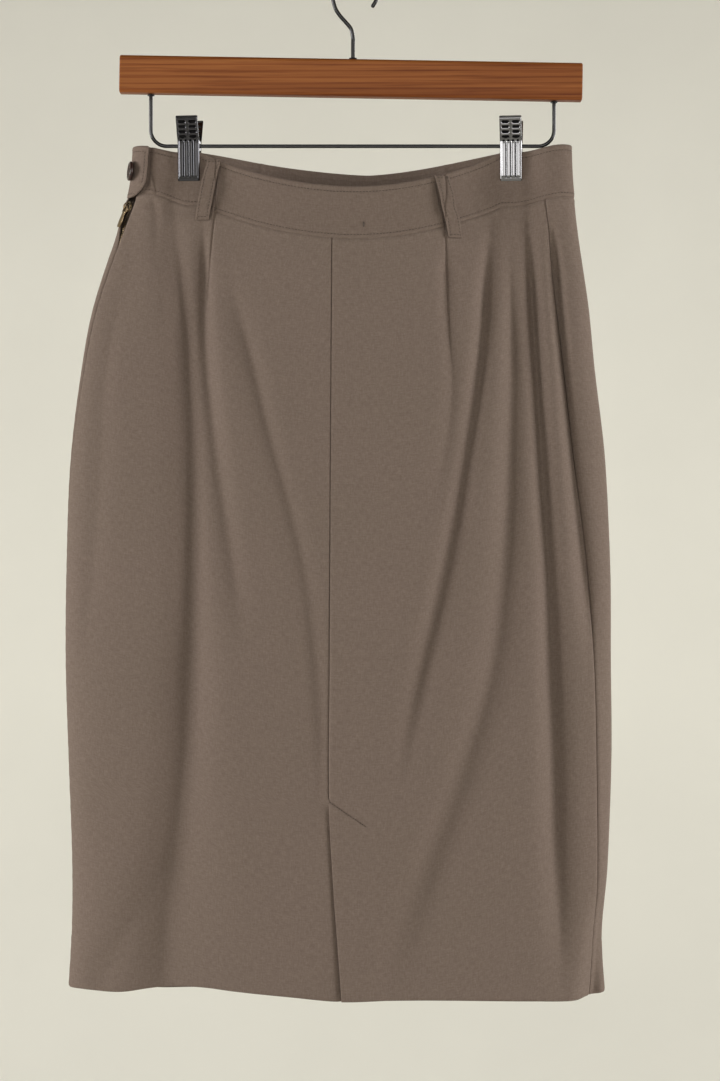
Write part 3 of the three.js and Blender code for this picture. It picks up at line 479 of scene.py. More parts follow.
# A row for each fold: a soft trough from top to bottom through the places a to e, with its half
# width and its depth at either end, and how much wider its right side gets. The last four near and
# the last two far are creases too fine for the solids.
foldNames = "top bottom a b c d e wide widen deep deepen lean"
folds = {
    "near": table(
        foldNames,
        (-179, -240, -160, -158, -157, -156, -155, 4, 6, 2.5, 1, 1),
        (-184, -1000, -143, -129.5, -131, -150, -154, 7.5, 28, 10, 17, 2.2),
        (-196, -580, -120, -117.5, -107.5, -94, -80, 5.5, 13, 8.5, 4, 1),
        (-240, -720, -99, -70, -40, -28, -27, 9, 11, 5, 4.5, 1),
        (-235, -585, -179, -196, -201, -208, -215, 9, 11, 2, 1.5, 1),
        (-690, -835, -146, -160, -178, -196, -208, 11, 15, 2.5, 3, 1),
        (-215, -450, 72.3, 74, 78.5, 72, 58, 4.5, 10, 3.5, 3.5, 1),
        (-200, -700, 110, 100, 80, 52, 25, 6, 12, 10.5, 6.5, 1),
        (-203, -900, 125, 126, 112, 60, -5, 6.5, 26, 9.5, 9.5, 1),
        (-182, -860, 138.5, 148, 157, 161.5, 166, 6.5, 13, 13.5, 11, 1),
        (-190, -580, 158, 165, 174, 183, 192, 5.5, 8, 12, 7, 1),
        (-728, -905, 197, 194, 190, 188, 186, 6, 14, 2, 26, 1),
        (-660, -800, 72, 62, 50, 36, 16, 10, 14, 0.9, 0.8, 1),
        (-205, -330, 112, 113, 113, 112, 111, 5, 6, 0.9, 0.3, 1),
        (-200, -300, -148, -149, -148, -146, -144, 4, 5, 0.8, 0.3, 1),
        (-330, -640, 118, 122, 126, 128, 126, 8, 12, 0.8, 0.8, 1)),
    "far": table(
        foldNames,
        (-187, -840, 136, 140, 150, 146, 128, 7, 22, 7, 9, 1),
        (-203, -620, 112, 106, 92, 76, 60, 6, 13, 6, 4, 1),
        (-207, -760, -118, -112, -98, -80, -46, 6.5, 18, 6.5, 6, 1),
        (-190, -820, -140, -147, -160, -166, -178, 7, 17, 7.5, 7.5, 1.4),
        (-320, -700, -20, -8, 6, 14, 16, 14, 18, 3, 3, 1),
        (-210, -420, 60, 54, 46, 40, 36, 7, 10, 0.8, 0.6, 1),
        (-220, -520, -60, -50, -44, -36, -30, 8, 12, 0.9, 0.7, 1)),
}
darts = {
    "near": table("topX tipX tip groove", (-109.5, -117.5, -281, 1.2), (72.3, 77.6, -318, 1.2)),
    "far": table("topX tipX tip groove", (-74, -78, -270, 1.1), (74, 78, -270, 1.1)),
}
band = {
    "height": 40, "wall": 2.1, "proud": 0.5, "endRise": 5.5, "level": -146.5, "tabLift": 2.7, "tabFlare": 1.6,
    "nearSag": (29.5, 2, 2), "farSag": (16, 12, 1.4),  # depth, lowest place, power
    "start": 0.19, "turn": 3.99, "tabEnd": 4.235, "tabCorner": 4.12, "cornerFrom": 0.62,
    "creaseRise": 4.5, "creaseFrom": -128, "creaseTo": -156,
    "stitchFromTop": 3.6, "stitchFromFoot": 2.3, "groove": 1.85,
}
vent = {"top": -661, "underlap": 30, "sunk": 1.75, "lift": 1.4, "slant": (-18.8, -660.5, 9.5, -679.5)}
zipPlace = {"length": 200, "tapeTop": -184, "tapeWall": 0.7, "tapeReach": 0.17, "tapeUnder": 0.006,
            "tapeSunk": 1.8, "opening": 7, "openingLength": 34, "sliderLevel": -188.5, "chainIn": 3.5}
loopStrip = {"width": 10.8, "wall": 1.6, "rise": 3.6, "below": 12, "endGap": 0.45, "stitchFromEdge": 1.7}
beltLoops = {
    "belt_loop_back_left": {"near": True, "topX": -111, "footX": -120, "twist": -0.9},
    "belt_loop_back_right": {"near": True, "topX": 70, "footX": 81, "twist": 0.9},
    "belt_loop_front_left": {"near": False, "topX": -78, "footX": -80, "twist": 0},
    "belt_loop_front_right": {"near": False, "topX": 78, "footX": 80, "twist": 0},
}
clip = {"halfWidth": 8.8, "yaw": 7, "spread": 13, "handle": 22, "jaw": 28, "sheet": 1.0,
        "left": -130.8, "right": 126.6, "inward": 46, "outward": 17}
wire = {"diameter": 3, "level": -140.2, "left": -161.6, "right": 160.8, "bend": 12.5}
pressed = skirt["seamGap"] / 2 + 2.2 - band["proud"]  # the cloth's half depth between a clip's jaws
deepest = pressed - 1.2


def column(rows, name, at, key="z"):
    return curveThrough(rows[key], rows[name], at)


def isNear(ring):
    return np.mod(ring, 4) < 2


# How far the clips press the two layers together, from 0 to 1.
def pinchAt(x, z):
    below = np.maximum(0, -168 - z)
    hold = np.exp(-below / 95)
    free = 1.0
    for place in (clip["left"], clip["right"]):
        towardsMiddle = (x - place) * place < 0
        soft = np.where(towardsMiddle, clip["inward"], clip["outward"]) * (1 + below / 260)
        free = free * (1 - hold * bell(np.maximum(0, np.abs(x - place) - clip["halfWidth"] - 3), soft))
    return 1 - free


# The cloth turns with the clips that hold it, and its left end swings back under the tab.
def turnAt(x, z):
    turned = 10 * rampUp(-146, -180, x) * rampUp(-360, -190, z)
    slope = math.tan(math.radians(clip["yaw"]))
    for place in (clip["left"], clip["right"]):
        turned = turned - slope * (x - place) * bell(x - place, 34) * rampUp(-270, -168, z)
    return turned


# A soft trough for each row of a table of folds, deepest on its path.
def foldAt(rows, x, z):
    total = 0.0
    steps = np.linspace(0, -1, 5)
    for k in range(len(rows["top"])):
        row = {name: values[k] for name, values in rows.items()}
        t = (z - row["top"]) / (row["bottom"] - row["top"])
        path = curveThrough(steps, [row[name] for name in "abcde"], -np.clip(t, 0, 1))
        away = (x - path) / mix(row["wide"], row["widen"], t)
        away = np.where(away > 0, away / mix(1, row["lean"], rampUp(0.45, 0.8, t)), away)
        depth = mix(row["deep"], row["deepen"], t) * rampUp(-0.02, 0.15, t) * rampUp(1, 0.72, t)
        total = total + np.where((t >= 0) & (t <= 1), depth * np.exp(-np.abs(away) ** 1.6), 0)
    return total


def dartAt(rows, x, z):
    total = 0.0
    for topX, tipX, tip, groove in zip(*rows.values()):
        t = np.clip((z - tip) / (band["level"] - band["height"] - tip), 0, 1)
        total = total + groove * rampUp(0, 0.3, t) * bell(x - mix(tipX, topX, t), 0.9)
    return total


def outlinesAt(z):
    return column(skirt["sections"], "left", z), column(skirt["sections"], "right", z)


def acrossAt(ring, z):  # the place across the skirt of a point on the ring
    left, right = outlinesAt(z)
    return (left + right) / 2 - (right - left) / 2 * np.cos(math.pi / 2 * ring)


def ringAt(x, z):  # its inverse on the near side
    left, right = outlinesAt(z)
    share = np.clip((x - (left + right) / 2) / ((right - left) / 2), -1, 1)
    return 2 / math.pi * np.arccos(-share)


def softMax(first, second, soft):  # the larger of two, rounded over where they cross
    return (first + second + np.sqrt((first - second) ** 2 + soft ** 2)) / 2


# A point of the cloth's outer face: a flattened ring, pressed together at the clips, with its folds.
def clothPoint(ring, z):
    ring, z = np.broadcast_arrays(np.asarray(ring, float), np.asarray(z, float))
    near = isNear(ring)
    rows = skirt["sections"]
    share = -np.cos(math.pi / 2 * ring)
    square = np.where(share < 0, column(rows, "squareLeft", z), column(rows, "squareRight", z))
    rise = np.maximum(0, 1 - np.abs(share) ** square) ** (1 / square)
    x = acrossAt(ring, z)
    openHalf = np.where(near, column(rows, "near", z), column(rows, "far", z)) * rise
    half = mix(openHalf, np.minimum(openHalf, pressed), pinchAt(x, z))
    troughs = (foldAt(folds[side], x, z) + dartAt(darts[side], x, z) for side in ("near", "far"))
    inwards = np.where(near, *troughs) * np.minimum(1, 2.2 * rise)
    floor = np.where(near, deepest, pressed - 0.25)
    offset = np.where(openHalf < floor + 1, np.maximum(half - inwards, np.minimum(openHalf, floor)),
                      softMax(half - inwards, floor, 0.5))
    return pointsOf(x, turnAt(x, z) + np.where(near, -offset, offset), z)


def clothNormal(ring, z):  # straight out of the cloth
    along = clothPoint(ring + 0.012, z) - clothPoint(ring - 0.012, z)
    up = clothPoint(ring, z + 1.5) - clothPoint(ring, z - 1.5)
    return unit(np.cross(along, up))


def topEdge(ring, x):  # the band's top edge, sagging between the clips, lower on the near side
    depth, lowest, power = (np.where(isNear(ring), a, b) for a, b in zip(band["nearSag"], band["farSag"]))
    edge = np.where(x < lowest, clip["left"] + clip["halfWidth"], clip["right"] - clip["halfWidth"])
    share = (x - lowest) / (edge - lowest)
    sag = np.where(share < 1, depth * (1 - np.abs(np.clip(share, -1, 1)) ** power), 0)
    return band["level"] - sag + band["endRise"] * rampUp(12, 52, np.abs(x) - np.abs(edge))


def waistSeam(ring, x):
    creased = np.where(ring < 2, band["creaseRise"] * rampUp(band["creaseFrom"], band["creaseTo"], x), 0)
    eased = np.where(isNear(ring), -2.0 * bell(x - 118, 24) - 1.2 * bell(x + 122, 20), 0)
    return topEdge(ring, x) - band["height"] + creased + eased


hemLevel = band["level"] + band["endRise"] - skirt["lengthAtSides"]


def hemEdge(ring, x):
    outermost = column(skirt["hem"], "rise", np.sign(x) * 1000, "x")
    onNear = column(skirt["hem"], "rise", x, "x")
    return hemLevel + np.where(isNear(ring), onNear, outermost * rampUp(150, 205, np.abs(x)))


def gapOnRing(ring, z, gap):  # a gap in mm as a share of the ring
    speed = np.linalg.norm(clothPoint(ring + 0.02, z) - clothPoint(ring - 0.02, z), axis=-1) / 0.04
    return gap / speed


def backSeam(z):
    return ringAt(column(skirt["seams"], "back", z), z)


def sideSeam(z):
    return ringAt(column(skirt["seams"], "side", z), z)


def zipSeam(z):
    return ringAt(column(skirt["sections"], "left", z) + column(skirt["seams"], "inset", z), z)


# In from the zip's seam towards the front: half the seam's gap or less, and far more beside the
# slider, where the placket gapes.
def inFromZip(z, gap, gape):
    ring = zipSeam(z)
    gape = gape * rampUp(zipPlace["sliderLevel"] - zipPlace["openingLength"], zipPlace["sliderLevel"], z)
    return ring - gapOnRing(ring, z, gap) - gapOnRing(-0.06, z, gape)


def frontZipEdge(z):
    return 4 + inFromZip(z, skirt["seamGap"] / 2, zipPlace["opening"])


def zipLine(z):  # the middle of the chain
    return inFromZip(z, skirt["seamGap"] / 4, zipPlace["chainIn"])


# The cloth is never quite flat: slow waves of 60 to 160 mm, a third of a millimetre high.
def easeAt(x, z, side):
    return 0.22 * (np.sin(x / 17.3 + 1.7 * side + 0.9 * np.sin(z / 47)) * np.sin(z / 31.7 + 0.6)
                   + np.sin((x + z) / 26.1 + 2.2 * side) + 0.8 * np.sin((x - 0.7 * z) / 15.2 + side))


def pucker(run, away, pitch, high):  # small ripples along a seam, dying away beside it
    return high * np.sin(fullTurn * run / pitch + 1.4 * np.sin(run / 23.0)) * bell(away, 6)


# Beside a back loop's inner edge the cloth is drawn in to a narrow groove that goes on under the loop.
def besideLoop(x, z):
    total = 0.0
    for one in beltLoops.values():
        if one["near"]:
            top = topEdge(0.5, one["topX"])
            foot = topEdge(0.5, one["footX"]) - band["height"] - loopStrip["below"]
            down = (top - z) / (top - foot)
            path = mix(one["topX"], one["footX"], down) - math.copysign(loopStrip["width"] / 2, one["topX"])
            total = total + bell(x - path, 0.9) * rampUp(0.04, 0.3, down) * rampUp(1.0, 0.93, down)
    return total


def slantGroove(x, z):  # along the slanting line of stitches at the vent's top
    fromX, fromZ, toX, toZ = vent["slant"]
    reachX, reachZ = toX - fromX, toZ - fromZ
    share = np.clip(((x - fromX) * reachX + (z - fromZ) * reachZ) / (reachX ** 2 + reachZ ** 2), 0, 1)
    return 0.7 * bell(np.hypot(x - fromX - share * reachX, z - fromZ - share * reachZ), 1.1)


# ---- the three panels of the skirt ----
relief = {"topDitch": 0.7, "topRidge": 0.25, "hemStep": 0.22, "hemGroove": 0.3, "hemEdge": 0.35,
          "seamDitch": 0.7, "seamRidge": 0.14, "ripple": 0.09, "ripplePitch": 13, "loopGroove": 0.75,
          "ventEdge": 0.45, "ventFacing": 0.2}
rowsDown = fractions(205, (0, 1.6, 0.03), (1, 1.3, 0.03), (0.935, 1.2, 0.01), (0.762, 2.4, 0.022),
                     weight=lambda t: 0.7 + 0.8 * np.exp(-t / 0.25))


def panelPlaces(fromRing, toRing, along):
    z = np.full((len(rowsDown), len(along)), float(band["level"] - band["height"]))
    for settle in range(6):
        ring = mix(fromRing(z), toRing(z), along[None, :])
        x = acrossAt(ring, z)
        z = mix(waistSeam(ring, x) - skirt["seamGap"], hemEdge(ring, x) + 1.0, rowsDown[:, None])
    return ring, z


# A panel's outer face is the cloth's form moved along its normal: a ditch and faint ripples at each
# seam, the turned-up hem, the slow waves, and what extra adds.
def panelPart(plan):
    ring, z = panelPlaces(plan["from"], plan["to"], columnsFor(plan["columns"], plan["closer"]))
    base, normal = clothPoint(ring, z), clothNormal(ring, z)
    x = base[..., 0]
    start, down = lengthsAlong(base, 1), lengthsAlong(base, 0)
    end, fromHem = start[:, -1:] - start, down[-1:] - down
    fromFold = fromHem - skirt["hemDepth"]
    out = easeAt(x, z, plan["shift"]) * rampUp(0, 30, down) * rampUp(0, 40, np.minimum(start, end))
    out = out - relief["topDitch"] * bell(down, 1.2) + relief["topRidge"] * bell(down - 3.2, 2)
    out = out + relief["hemStep"] * rampUp(1.2, -1.2, fromFold)
    out = out - relief["hemGroove"] * bell(fromFold, 1.2) * (0.6 + 0.4 * np.sin(start / 2.4))
    out = out - relief["hemEdge"] * bell(fromHem, 1.2) + plan["extra"](ring, x, z, start, end, down)
    wall = mix(skirt["wall"], skirt["hemWall"], rampUp(1, -1, fromFold))
    return sheetPart(base + normal * out[..., None], normal, wall)


def seamRelief(distance, run):
    return (relief["seamRidge"] * bell(distance - 3, 2.2) - relief["seamDitch"] * bell(distance, 0.8)
            + pucker(run, distance, relief["ripplePitch"], relief["ripple"]))


def backLeftExtra(ring, x, z, start, end, down):
    toSeam = column(skirt["seams"], "back", z) - x
    sewn = rampUp(vent["top"] - 2, vent["top"] + 6, z)
    under = vent["sunk"] * rampUp(3.4, 0.4, toSeam) * rampUp(vent["top"] + 3, vent["top"] - 10, z)
    return (seamRelief(start, down) + seamRelief(toSeam, down) * sewn - under
            - relief["loopGroove"] * besideLoop(x, z))


def backRightExtra(ring, x, z, start, end, down):
    sewn = rampUp(vent["top"] - 2, vent["top"] + 6, z)
    lift = vent["lift"] * rampUp(vent["top"], hemLevel, z) * rampUp(45, 0, start)
    fold = relief["ventFacing"] * rampUp(34, 30, start) - relief["ventEdge"] * bell(start, 0.8)
    return (mix(fold, seamRelief(start, down), sewn) + lift + seamRelief(end, down)
            - slantGroove(x, z) - relief["loopGroove"] * besideLoop(x, z))


def frontExtra(ring, x, z, start, end, down):
    lift = band["tabLift"] * rampUp(3.8, 3.98, ring) * rampUp(-222, -184, z)
    return seamRelief(start, down) + seamRelief(end, down) * rampUp(-180, -240, z) + lift


def besideSeam(seam, way):
    return lambda z: seam(z) + way * gapOnRing(seam(z), z, skirt["seamGap"] / 2)


# Below the vent's top the left panel runs on under the right one.
def backLeftEdge(z):
    reach = vent["underlap"] * rampUp(vent["top"] + 3, vent["top"] - 16, z)
    plain = besideSeam(backSeam, -1)(z)
    return np.where(reach > 0, ringAt(column(skirt["seams"], "back", z) + reach, z), plain)


def columnsFor(count, spots):  # a panel's columns, with three close together at either edge
    edge = np.array([0, 0.0022, 0.0046])
    inside = fractions(count, *spots)[1:-1]
    return np.concatenate([edge, inside[(inside > 0.007) & (inside < 0.993)], 1 - edge[::-1]])


# A panel runs from one edge to another. Its columns stand closer where a fold or a seam needs them,
# and shift sets its slow waves apart from the others'.
panelPlans = {
    "skirtBackLeft": {
        "node": "skirt_back_left", "from": besideSeam(zipSeam, 1), "to": backLeftEdge,
        "extra": backLeftExtra, "shift": 0, "columns": 175,
        "closer": ((0.565, 3.5, 0.055), (0.0, 3, 0.015), (0.985, 2.5, 0.05), (0.86, 1, 0.05))},
    "skirtBackRight": {
        "node": "skirt_back_right", "from": besideSeam(backSeam, 1), "to": besideSeam(sideSeam, -1),
        "extra": backRightExtra, "shift": 0.7, "columns": 175,
        "closer": ((0.447, 4, 0.025), (0.0, 3, 0.02), (0.08, 1.5, 0.08), (1.0, 3, 0.015), (0.85, 0.8, 0.15))},
    "skirtFront": {
        "node": "skirt_front", "from": besideSeam(sideSeam, 1), "to": frontZipEdge,
        "extra": frontExtra, "shift": 2.1, "columns": 185,
        "closer": ((0.0, 3, 0.02), (1.0, 3, 0.02), (0.425, 4, 0.02), (0.635, 4, 0.02), (0.97, 1, 0.05))},
}
for name, plan in panelPlans.items():
    addPiece(name, [panelPart(plan)], [woolSkirt], [plan["node"]])


# ---- waistband ----
def tabEndAt(down):  # the tab ends square at the top, and its lower corner is rounded away
    past = np.clip((down - band["cornerFrom"]) / (1 - band["cornerFrom"]), 0, 1)
    return band["tabEnd"] - (band["tabEnd"] - band["tabCorner"]) * (1 - np.sqrt(1 - 0.98 * past ** 2.2))


def tabLiftAt(ring):
    return band["tabLift"] * rampUp(3.8, 4.0, ring) + band["tabFlare"] * rampUp(4.05, band["tabEnd"], ring)


def bandHeightAt(ring, down):
    z = np.full(np.broadcast(ring, down).shape, float(band["level"]))
    for settle in range(4):
        x = acrossAt(ring, z)
        z = mix(topEdge(ring, x), waistSeam(ring, x), down)
    return z


# The band's face: flat between its two rows of stitches, each in a shallow groove with ripples, with
# a crease below the tab's end and a hollow beside it.
def bandRelief(ring, down, run):
    fromTop, fromFoot = down * band["height"], (1 - down) * band["height"]
    out = (0.15 * bell(fromTop - 1.2, 1.0) + 0.12 * np.sin(run / 19) * np.sin(down * 3.1)
           - 0.25 * bell(fromFoot, 1.0))
    for away in (fromTop - band["stitchFromTop"], fromFoot - band["stitchFromFoot"]):
        out = out - 0.2 * bell(away, 0.7) + pucker(run, away, 5.5, 0.06)
    perRing = 113  # mm beside the tab
    crease = bell((ring - mix(0.243, 0.308, np.clip((down - 0.5) / 0.45, 0, 1))) * perRing, 1.3)
    besideTab = bell((ring - 0.236) * perRing, 2.0) * (1 - rampUp(0.72, 0.95, down))
    return out - 1.1 * crease * rampUp(0.52, 0.7, down) - 1.7 * besideTab


def bandPoint(ring, down):
    z = bandHeightAt(ring, down)
    face, normal = clothPoint(ring, z), clothNormal(ring, z)
    groove = band["groove"] * besideLoop(face[..., 0], z) * isNear(ring)
    out = band["proud"] + tabLiftAt(ring) + bandRelief(ring, down, ring * 180) - groove
    return face + normal * out[..., None], normal


bandRows = fractions(34, (0.09, 3, 0.03), (0.943, 3, 0.02), (0, 2, 0.03), (1, 2, 0.03))[:, None]
bandStations = fractions(540, (0.02, 2, 0.02), (0.103, 3, 0.008), (0.283, 3, 0.01))[None, :]
tabShares = np.concatenate([np.linspace(0, 1, 26)[1:-1], [0.97, 0.99, 1.0]])[None, :]
bandRing = np.concatenate([mix(band["start"], band["turn"], bandStations + 0 * bandRows),
                           mix(band["turn"], tabEndAt(bandRows), tabShares)], 1)
bandOuter, bandNormal = bandPoint(bandRing, np.broadcast_to(bandRows, bandRing.shape))
bandWall = band["wall"] - 1.7 * besideLoop(bandOuter[..., 0], bandOuter[..., 2]) * isNear(bandRing)
waistbandCloth = addPiece("waistbandCloth", [sheetPart(bandOuter, bandNormal, bandWall)], [woolBand],
                          ["waistband"])
print("stage 4: waistband,", len(waistbandCloth.data.polygons), "faces")


# ---- belt loops ----
# A strip that stands off the band between its two sewn ends. across runs from -1 to 1 over its
# width, down from 0 to 1 along it, and its long edges are rolled in.
def loopPoint(one, across, down):
    def ringOf(x, z):
        return ringAt(x, z) if one["near"] else 4 - ringAt(x, z)

    x = mix(one["topX"], one["footX"], down)
    middle = ringOf(x, band["level"])
    z = topEdge(middle, x) - 0.5 - (band["height"] + loopStrip["below"]) * down
    bow = np.sin(math.pi * np.clip(down, 0, 1)) ** 0.7
    ring = ringOf(x + across * loopStrip["width"] / 2 * (1 if one["near"] else -1), z)
    normal = clothNormal(middle, z)
    fromEdge = (1 - np.abs(across)) * loopStrip["width"] / 2
    rolled = 0.6 * bell(fromEdge, 0.9) + 0.3 * bell(fromEdge - loopStrip["stitchFromEdge"], 0.6)
    stand = (band["proud"] + loopStrip["endGap"] + (loopStrip["rise"] + one["twist"] * across) * bow
             + loopStrip["wall"] - rolled)
    return clothPoint(ring, z) + normal * stand[..., None], normal


stitch = {"pitch": 2.6, "share": 0.68, "width": 0.6, "height": 0.42}
loopGrid = np.broadcast_arrays(fractions(21, (0, 2, 0.1), (1, 2, 0.1))[None, :] * 2 - 1,
                               fractions(46, (0, 1.5, 0.08), (1, 1.5, 0.08))[:, None])
loopPieces, loopStitches = {}, []
for node, one in beltLoops.items():
    outer, normal = loopPoint(one, *loopGrid)
    loopPieces[node] = addPiece(node + "_cloth", [sheetPart(outer, normal, loopStrip["wall"])], [woolBand],
                                [node])
    inset = 1 - 2 * loopStrip["stitchFromEdge"] / loopStrip["width"]
    lines = [(np.full(120, edge * inset), np.linspace(0.01, 0.985, 120)) for edge in (-1, 1)]
    lines += [(np.linspace(-0.8, 0.8, 30), np.full(30, end)) for end in (0.03, 0.965)]
    loopStitches += [stitchPart(*loopPoint(one, across, down), stitch) for across, down in lines]

# ---- stitching ----
tack = {"x": 8.4, "level": -205.5, "length": 4.2, "width": 0.5, "threads": 5}
bandStitches = []
for edge in (band["stitchFromTop"], band["height"] - band["stitchFromFoot"]):
    share = edge / band["height"]
    run = np.linspace(band["start"] + 0.01, tabEndAt(share) - 0.015, 1500)
    bandStitches.append(stitchPart(*bandPoint(run, np.full_like(run, share)), stitch))
run = np.linspace(0.09, 0.72, 60)  # down the tab's end
bandStitches.append(stitchPart(*bandPoint(tabEndAt(run) - 0.018, run), stitch))


def onPanel(x, z, out):  # points on the near side, moved out of the cloth, with their normals
    ring = ringAt(x, z)
    normal = clothNormal(ring, z)
    return clothPoint(ring, z) + normal * out, normal


share = np.linspace(0, 1, 60)
fromX, fromZ, toX, toZ = vent["slant"]
ventLine = onPanel(mix(fromX, toX, share), mix(fromZ, toZ, share), -0.1)
tackCentres, tackNormal = onPanel(tack["x"] + np.linspace(-0.5, 0.5, tack["threads"]),
                                  np.full(tack["threads"], tack["level"]), band["proud"] + 0.15)
tackPart = barsPart(tackCentres, np.tile([0.0, 0.0, 1.0], (tack["threads"], 1)), tackNormal,
                    (tack["length"], tack["width"], tack["width"]))
bandTopstitch = addPiece("bandTopstitch", bandStitches + [tackPart], [threadTaupe])
addPiece("loopTopstitch", loopStitches, [threadTaupe])
ventStitch = addPiece("ventStitch", [stitchPart(*ventLine, {**stitch, "pitch": 2.2})], [threadTaupe])
print("stage 5: loops and stitches")


# ---- zip ----
def frameOn(ring, z, out):  # along the ring, up the cloth, straight out, and the origin
    ring, z = np.float64(ring), np.float64(z)
    normal = clothNormal(ring, z)
    up = clothPoint(ring, z + 2) - clothPoint(ring, z - 2)
    up = unit(up - normal * (up @ normal))
    return np.stack([np.cross(up, normal), up, normal]), clothPoint(ring, z) + normal * out


tapeZ = mix(zipPlace["tapeTop"], zipPlace["tapeTop"] - zipPlace["length"], np.linspace(0, 1, 90)[:, None])
tapeRing = mix(frontZipEdge(tapeZ) - 4 - zipPlace["tapeUnder"], zipSeam(tapeZ) + zipPlace["tapeReach"],
               np.linspace(0, 1, 14)[None, :])
tapeZ = np.broadcast_to(tapeZ, tapeRing.shape)
tapeNormal = clothNormal(tapeRing, tapeZ)
tapeOuter = clothPoint(tapeRing, tapeZ) - tapeNormal * zipPlace["tapeSunk"]
tapePiece = addPiece("zipTapeCloth", [sheetPart(tapeOuter, tapeNormal, zipPlace["tapeWall"])], [tapeWoven],
                     ["zip_tape"])

teeth = {"pitch": 1.5, "length": 3.4, "width": 0.9, "height": 1.1, "proud": 0.45, "below": 5, "foot": -222}
toothZ = np.arange(zipPlace["sliderLevel"] - teeth["below"], teeth["foot"], -teeth["pitch"])
toothRing = zipLine(toothZ)
toothNormal = clothNormal(toothRing, toothZ)
toothWay = unit(np.cross(toothNormal, clothPoint(toothRing, toothZ + 1) - clothPoint(toothRing, toothZ - 1)))
toothCentre = clothPoint(toothRing, toothZ) - toothNormal * (zipPlace["tapeSunk"] - teeth["proud"])
toothPart = barsPart(toothCentre, toothWay, toothNormal, (teeth["length"], teeth["width"], teeth["height"]))
addPiece("zipTeeth", [toothPart], [brassZip])


def loopsAt(outlines, heights):  # flat outlines set at their heights
    return pointsOf(outlines[..., 0], outlines[..., 1], np.asarray(heights, float)[:, None])


# A flat plate with rounded edges: an outline and its copies set in, swept round the edge's curve.
def plateLoops(outline, thick, edge, inwards=1, steps=6):
    ahead = np.roll(outline, -1, 0) - np.roll(outline, 1, 0)
    inward = unit(pointsOf(-ahead[:, 1], ahead[:, 0])) * inwards
    bend = np.linspace(-math.pi / 2, math.pi / 2, steps)
    inset = edge * (1 - np.cos(bend))
    heights = np.sign(bend) * (thick / 2 - edge) + edge * np.sin(bend)
    return loopsAt(outline + inward * inset[:, None, None], heights)


def superOval(halfWidth, halfHeight, power, count=48):
    c, s = np.cos(anglesRound(count)), np.sin(anglesRound(count))
    return pointsOf(halfWidth * np.sign(c) * np.abs(c) ** (2 / power),
                    halfHeight * np.sign(s) * np.abs(s) ** (2 / power))


# The slider is a plate with a narrower foot, a neck down into the tape and a bridge of wire over it.
slider = {"width": 7.6, "length": 9.6, "plate": 1.0, "gap": 0.35, "pin": 2.4, "legs": 2.65,
          "wireRadius": 0.55, "neck": 1.4, "footWidth": 0.72, "bridgeTop": 4.5}
sliderAxes, sliderOrigin = frameOn(zipLine(np.float64(zipPlace["sliderLevel"])), zipPlace["sliderLevel"], 0)
plateOutline = superOval(slider["width"] / 2, slider["length"] / 2, 2.6)
plateOutline[:, 0] *= mix(slider["footWidth"], 1, rampUp(-slider["length"] / 2, 0, plateOutline[:, 1]))
plate = plateLoops(plateOutline, slider["plate"], 0.3) + (0, 0, slider["gap"] + slider["plate"] / 2)
neck = loopsAt(superOval(1.6, 3, 3), (-slider["neck"], -0.8, 0, slider["gap"] + 0.3))
bridgeTurn = np.linspace(0, math.pi, 22)
bridgeFoot = slider["gap"] + slider["plate"] - 0.2
bridge = pointsOf(0, -slider["legs"] * np.cos(bridgeTurn),
                  bridgeFoot + (slider["bridgeTop"] - bridgeFoot) * np.sin(bridgeTurn) ** 0.6)
sliderParts = [stackPart(plate), stackPart(neck),
               rodPart(bridge, np.array([1.0, 0, 0]), slider["wireRadius"], 12)]
addPiece("zipSliderBrass", movedParts(sliderParts, sliderAxes, sliderOrigin), [brassZip],
         ["zip_slider"])

pull = {"length": 18, "eyeWidth": 6.2, "endWidth": 5.2, "thick": 1.2, "bar": 0.65, "hole": 4.3,
        "holeHalf": 1.75}


# The pull's outline is a curve round its eye, widest at the eye and rounded at its foot.
def pullOutline(count=96):
    sine, cosine = np.sin(anglesRound(count)), np.cos(anglesRound(count))
    top, foot = pull["bar"], -pull["length"]
    y = (top + foot) / 2 + (top - foot) / 2 * np.sign(sine) * np.abs(sine) ** 0.55
    end = pull["endWidth"] / 2
    half = np.where(y > -pull["hole"] - 0.8, pull["eyeWidth"] / 2,
                    mix(end - 0.6, end, np.clip((-pull["hole"] - 3 - y) / 6, 0, 1)))
    return pointsOf(half * np.abs(cosine) ** 0.35 * np.sign(cosine), y)


eyeMiddle, eyeHigh = -(pull["hole"] + pull["bar"]) / 2, (pull["hole"] - pull["bar"]) / 2
pullLoop = pullOutline()
eyeTurn = np.arctan2(pullLoop[:, 1] - eyeMiddle, pullLoop[:, 0])
eyeLoop = pointsOf(pull["holeHalf"] * np.cos(eyeTurn), eyeMiddle + eyeHigh * np.sin(eyeTurn))
pullRows = np.concatenate([plateLoops(pullLoop, pull["thick"], 0.35),
                           plateLoops(eyeLoop, pull["thick"], 0.3, inwards=-1)[::-1]])
pinPlace = sliderOrigin + sliderAxes[2] * slider["pin"]
addPiece("zipPullBrass", movedParts([ringPart(pullRows)], sliderAxes, pinPlace), [brassZip],
         ["zip_pull_tab"], body=pullBody)
print("stage 6: zip")

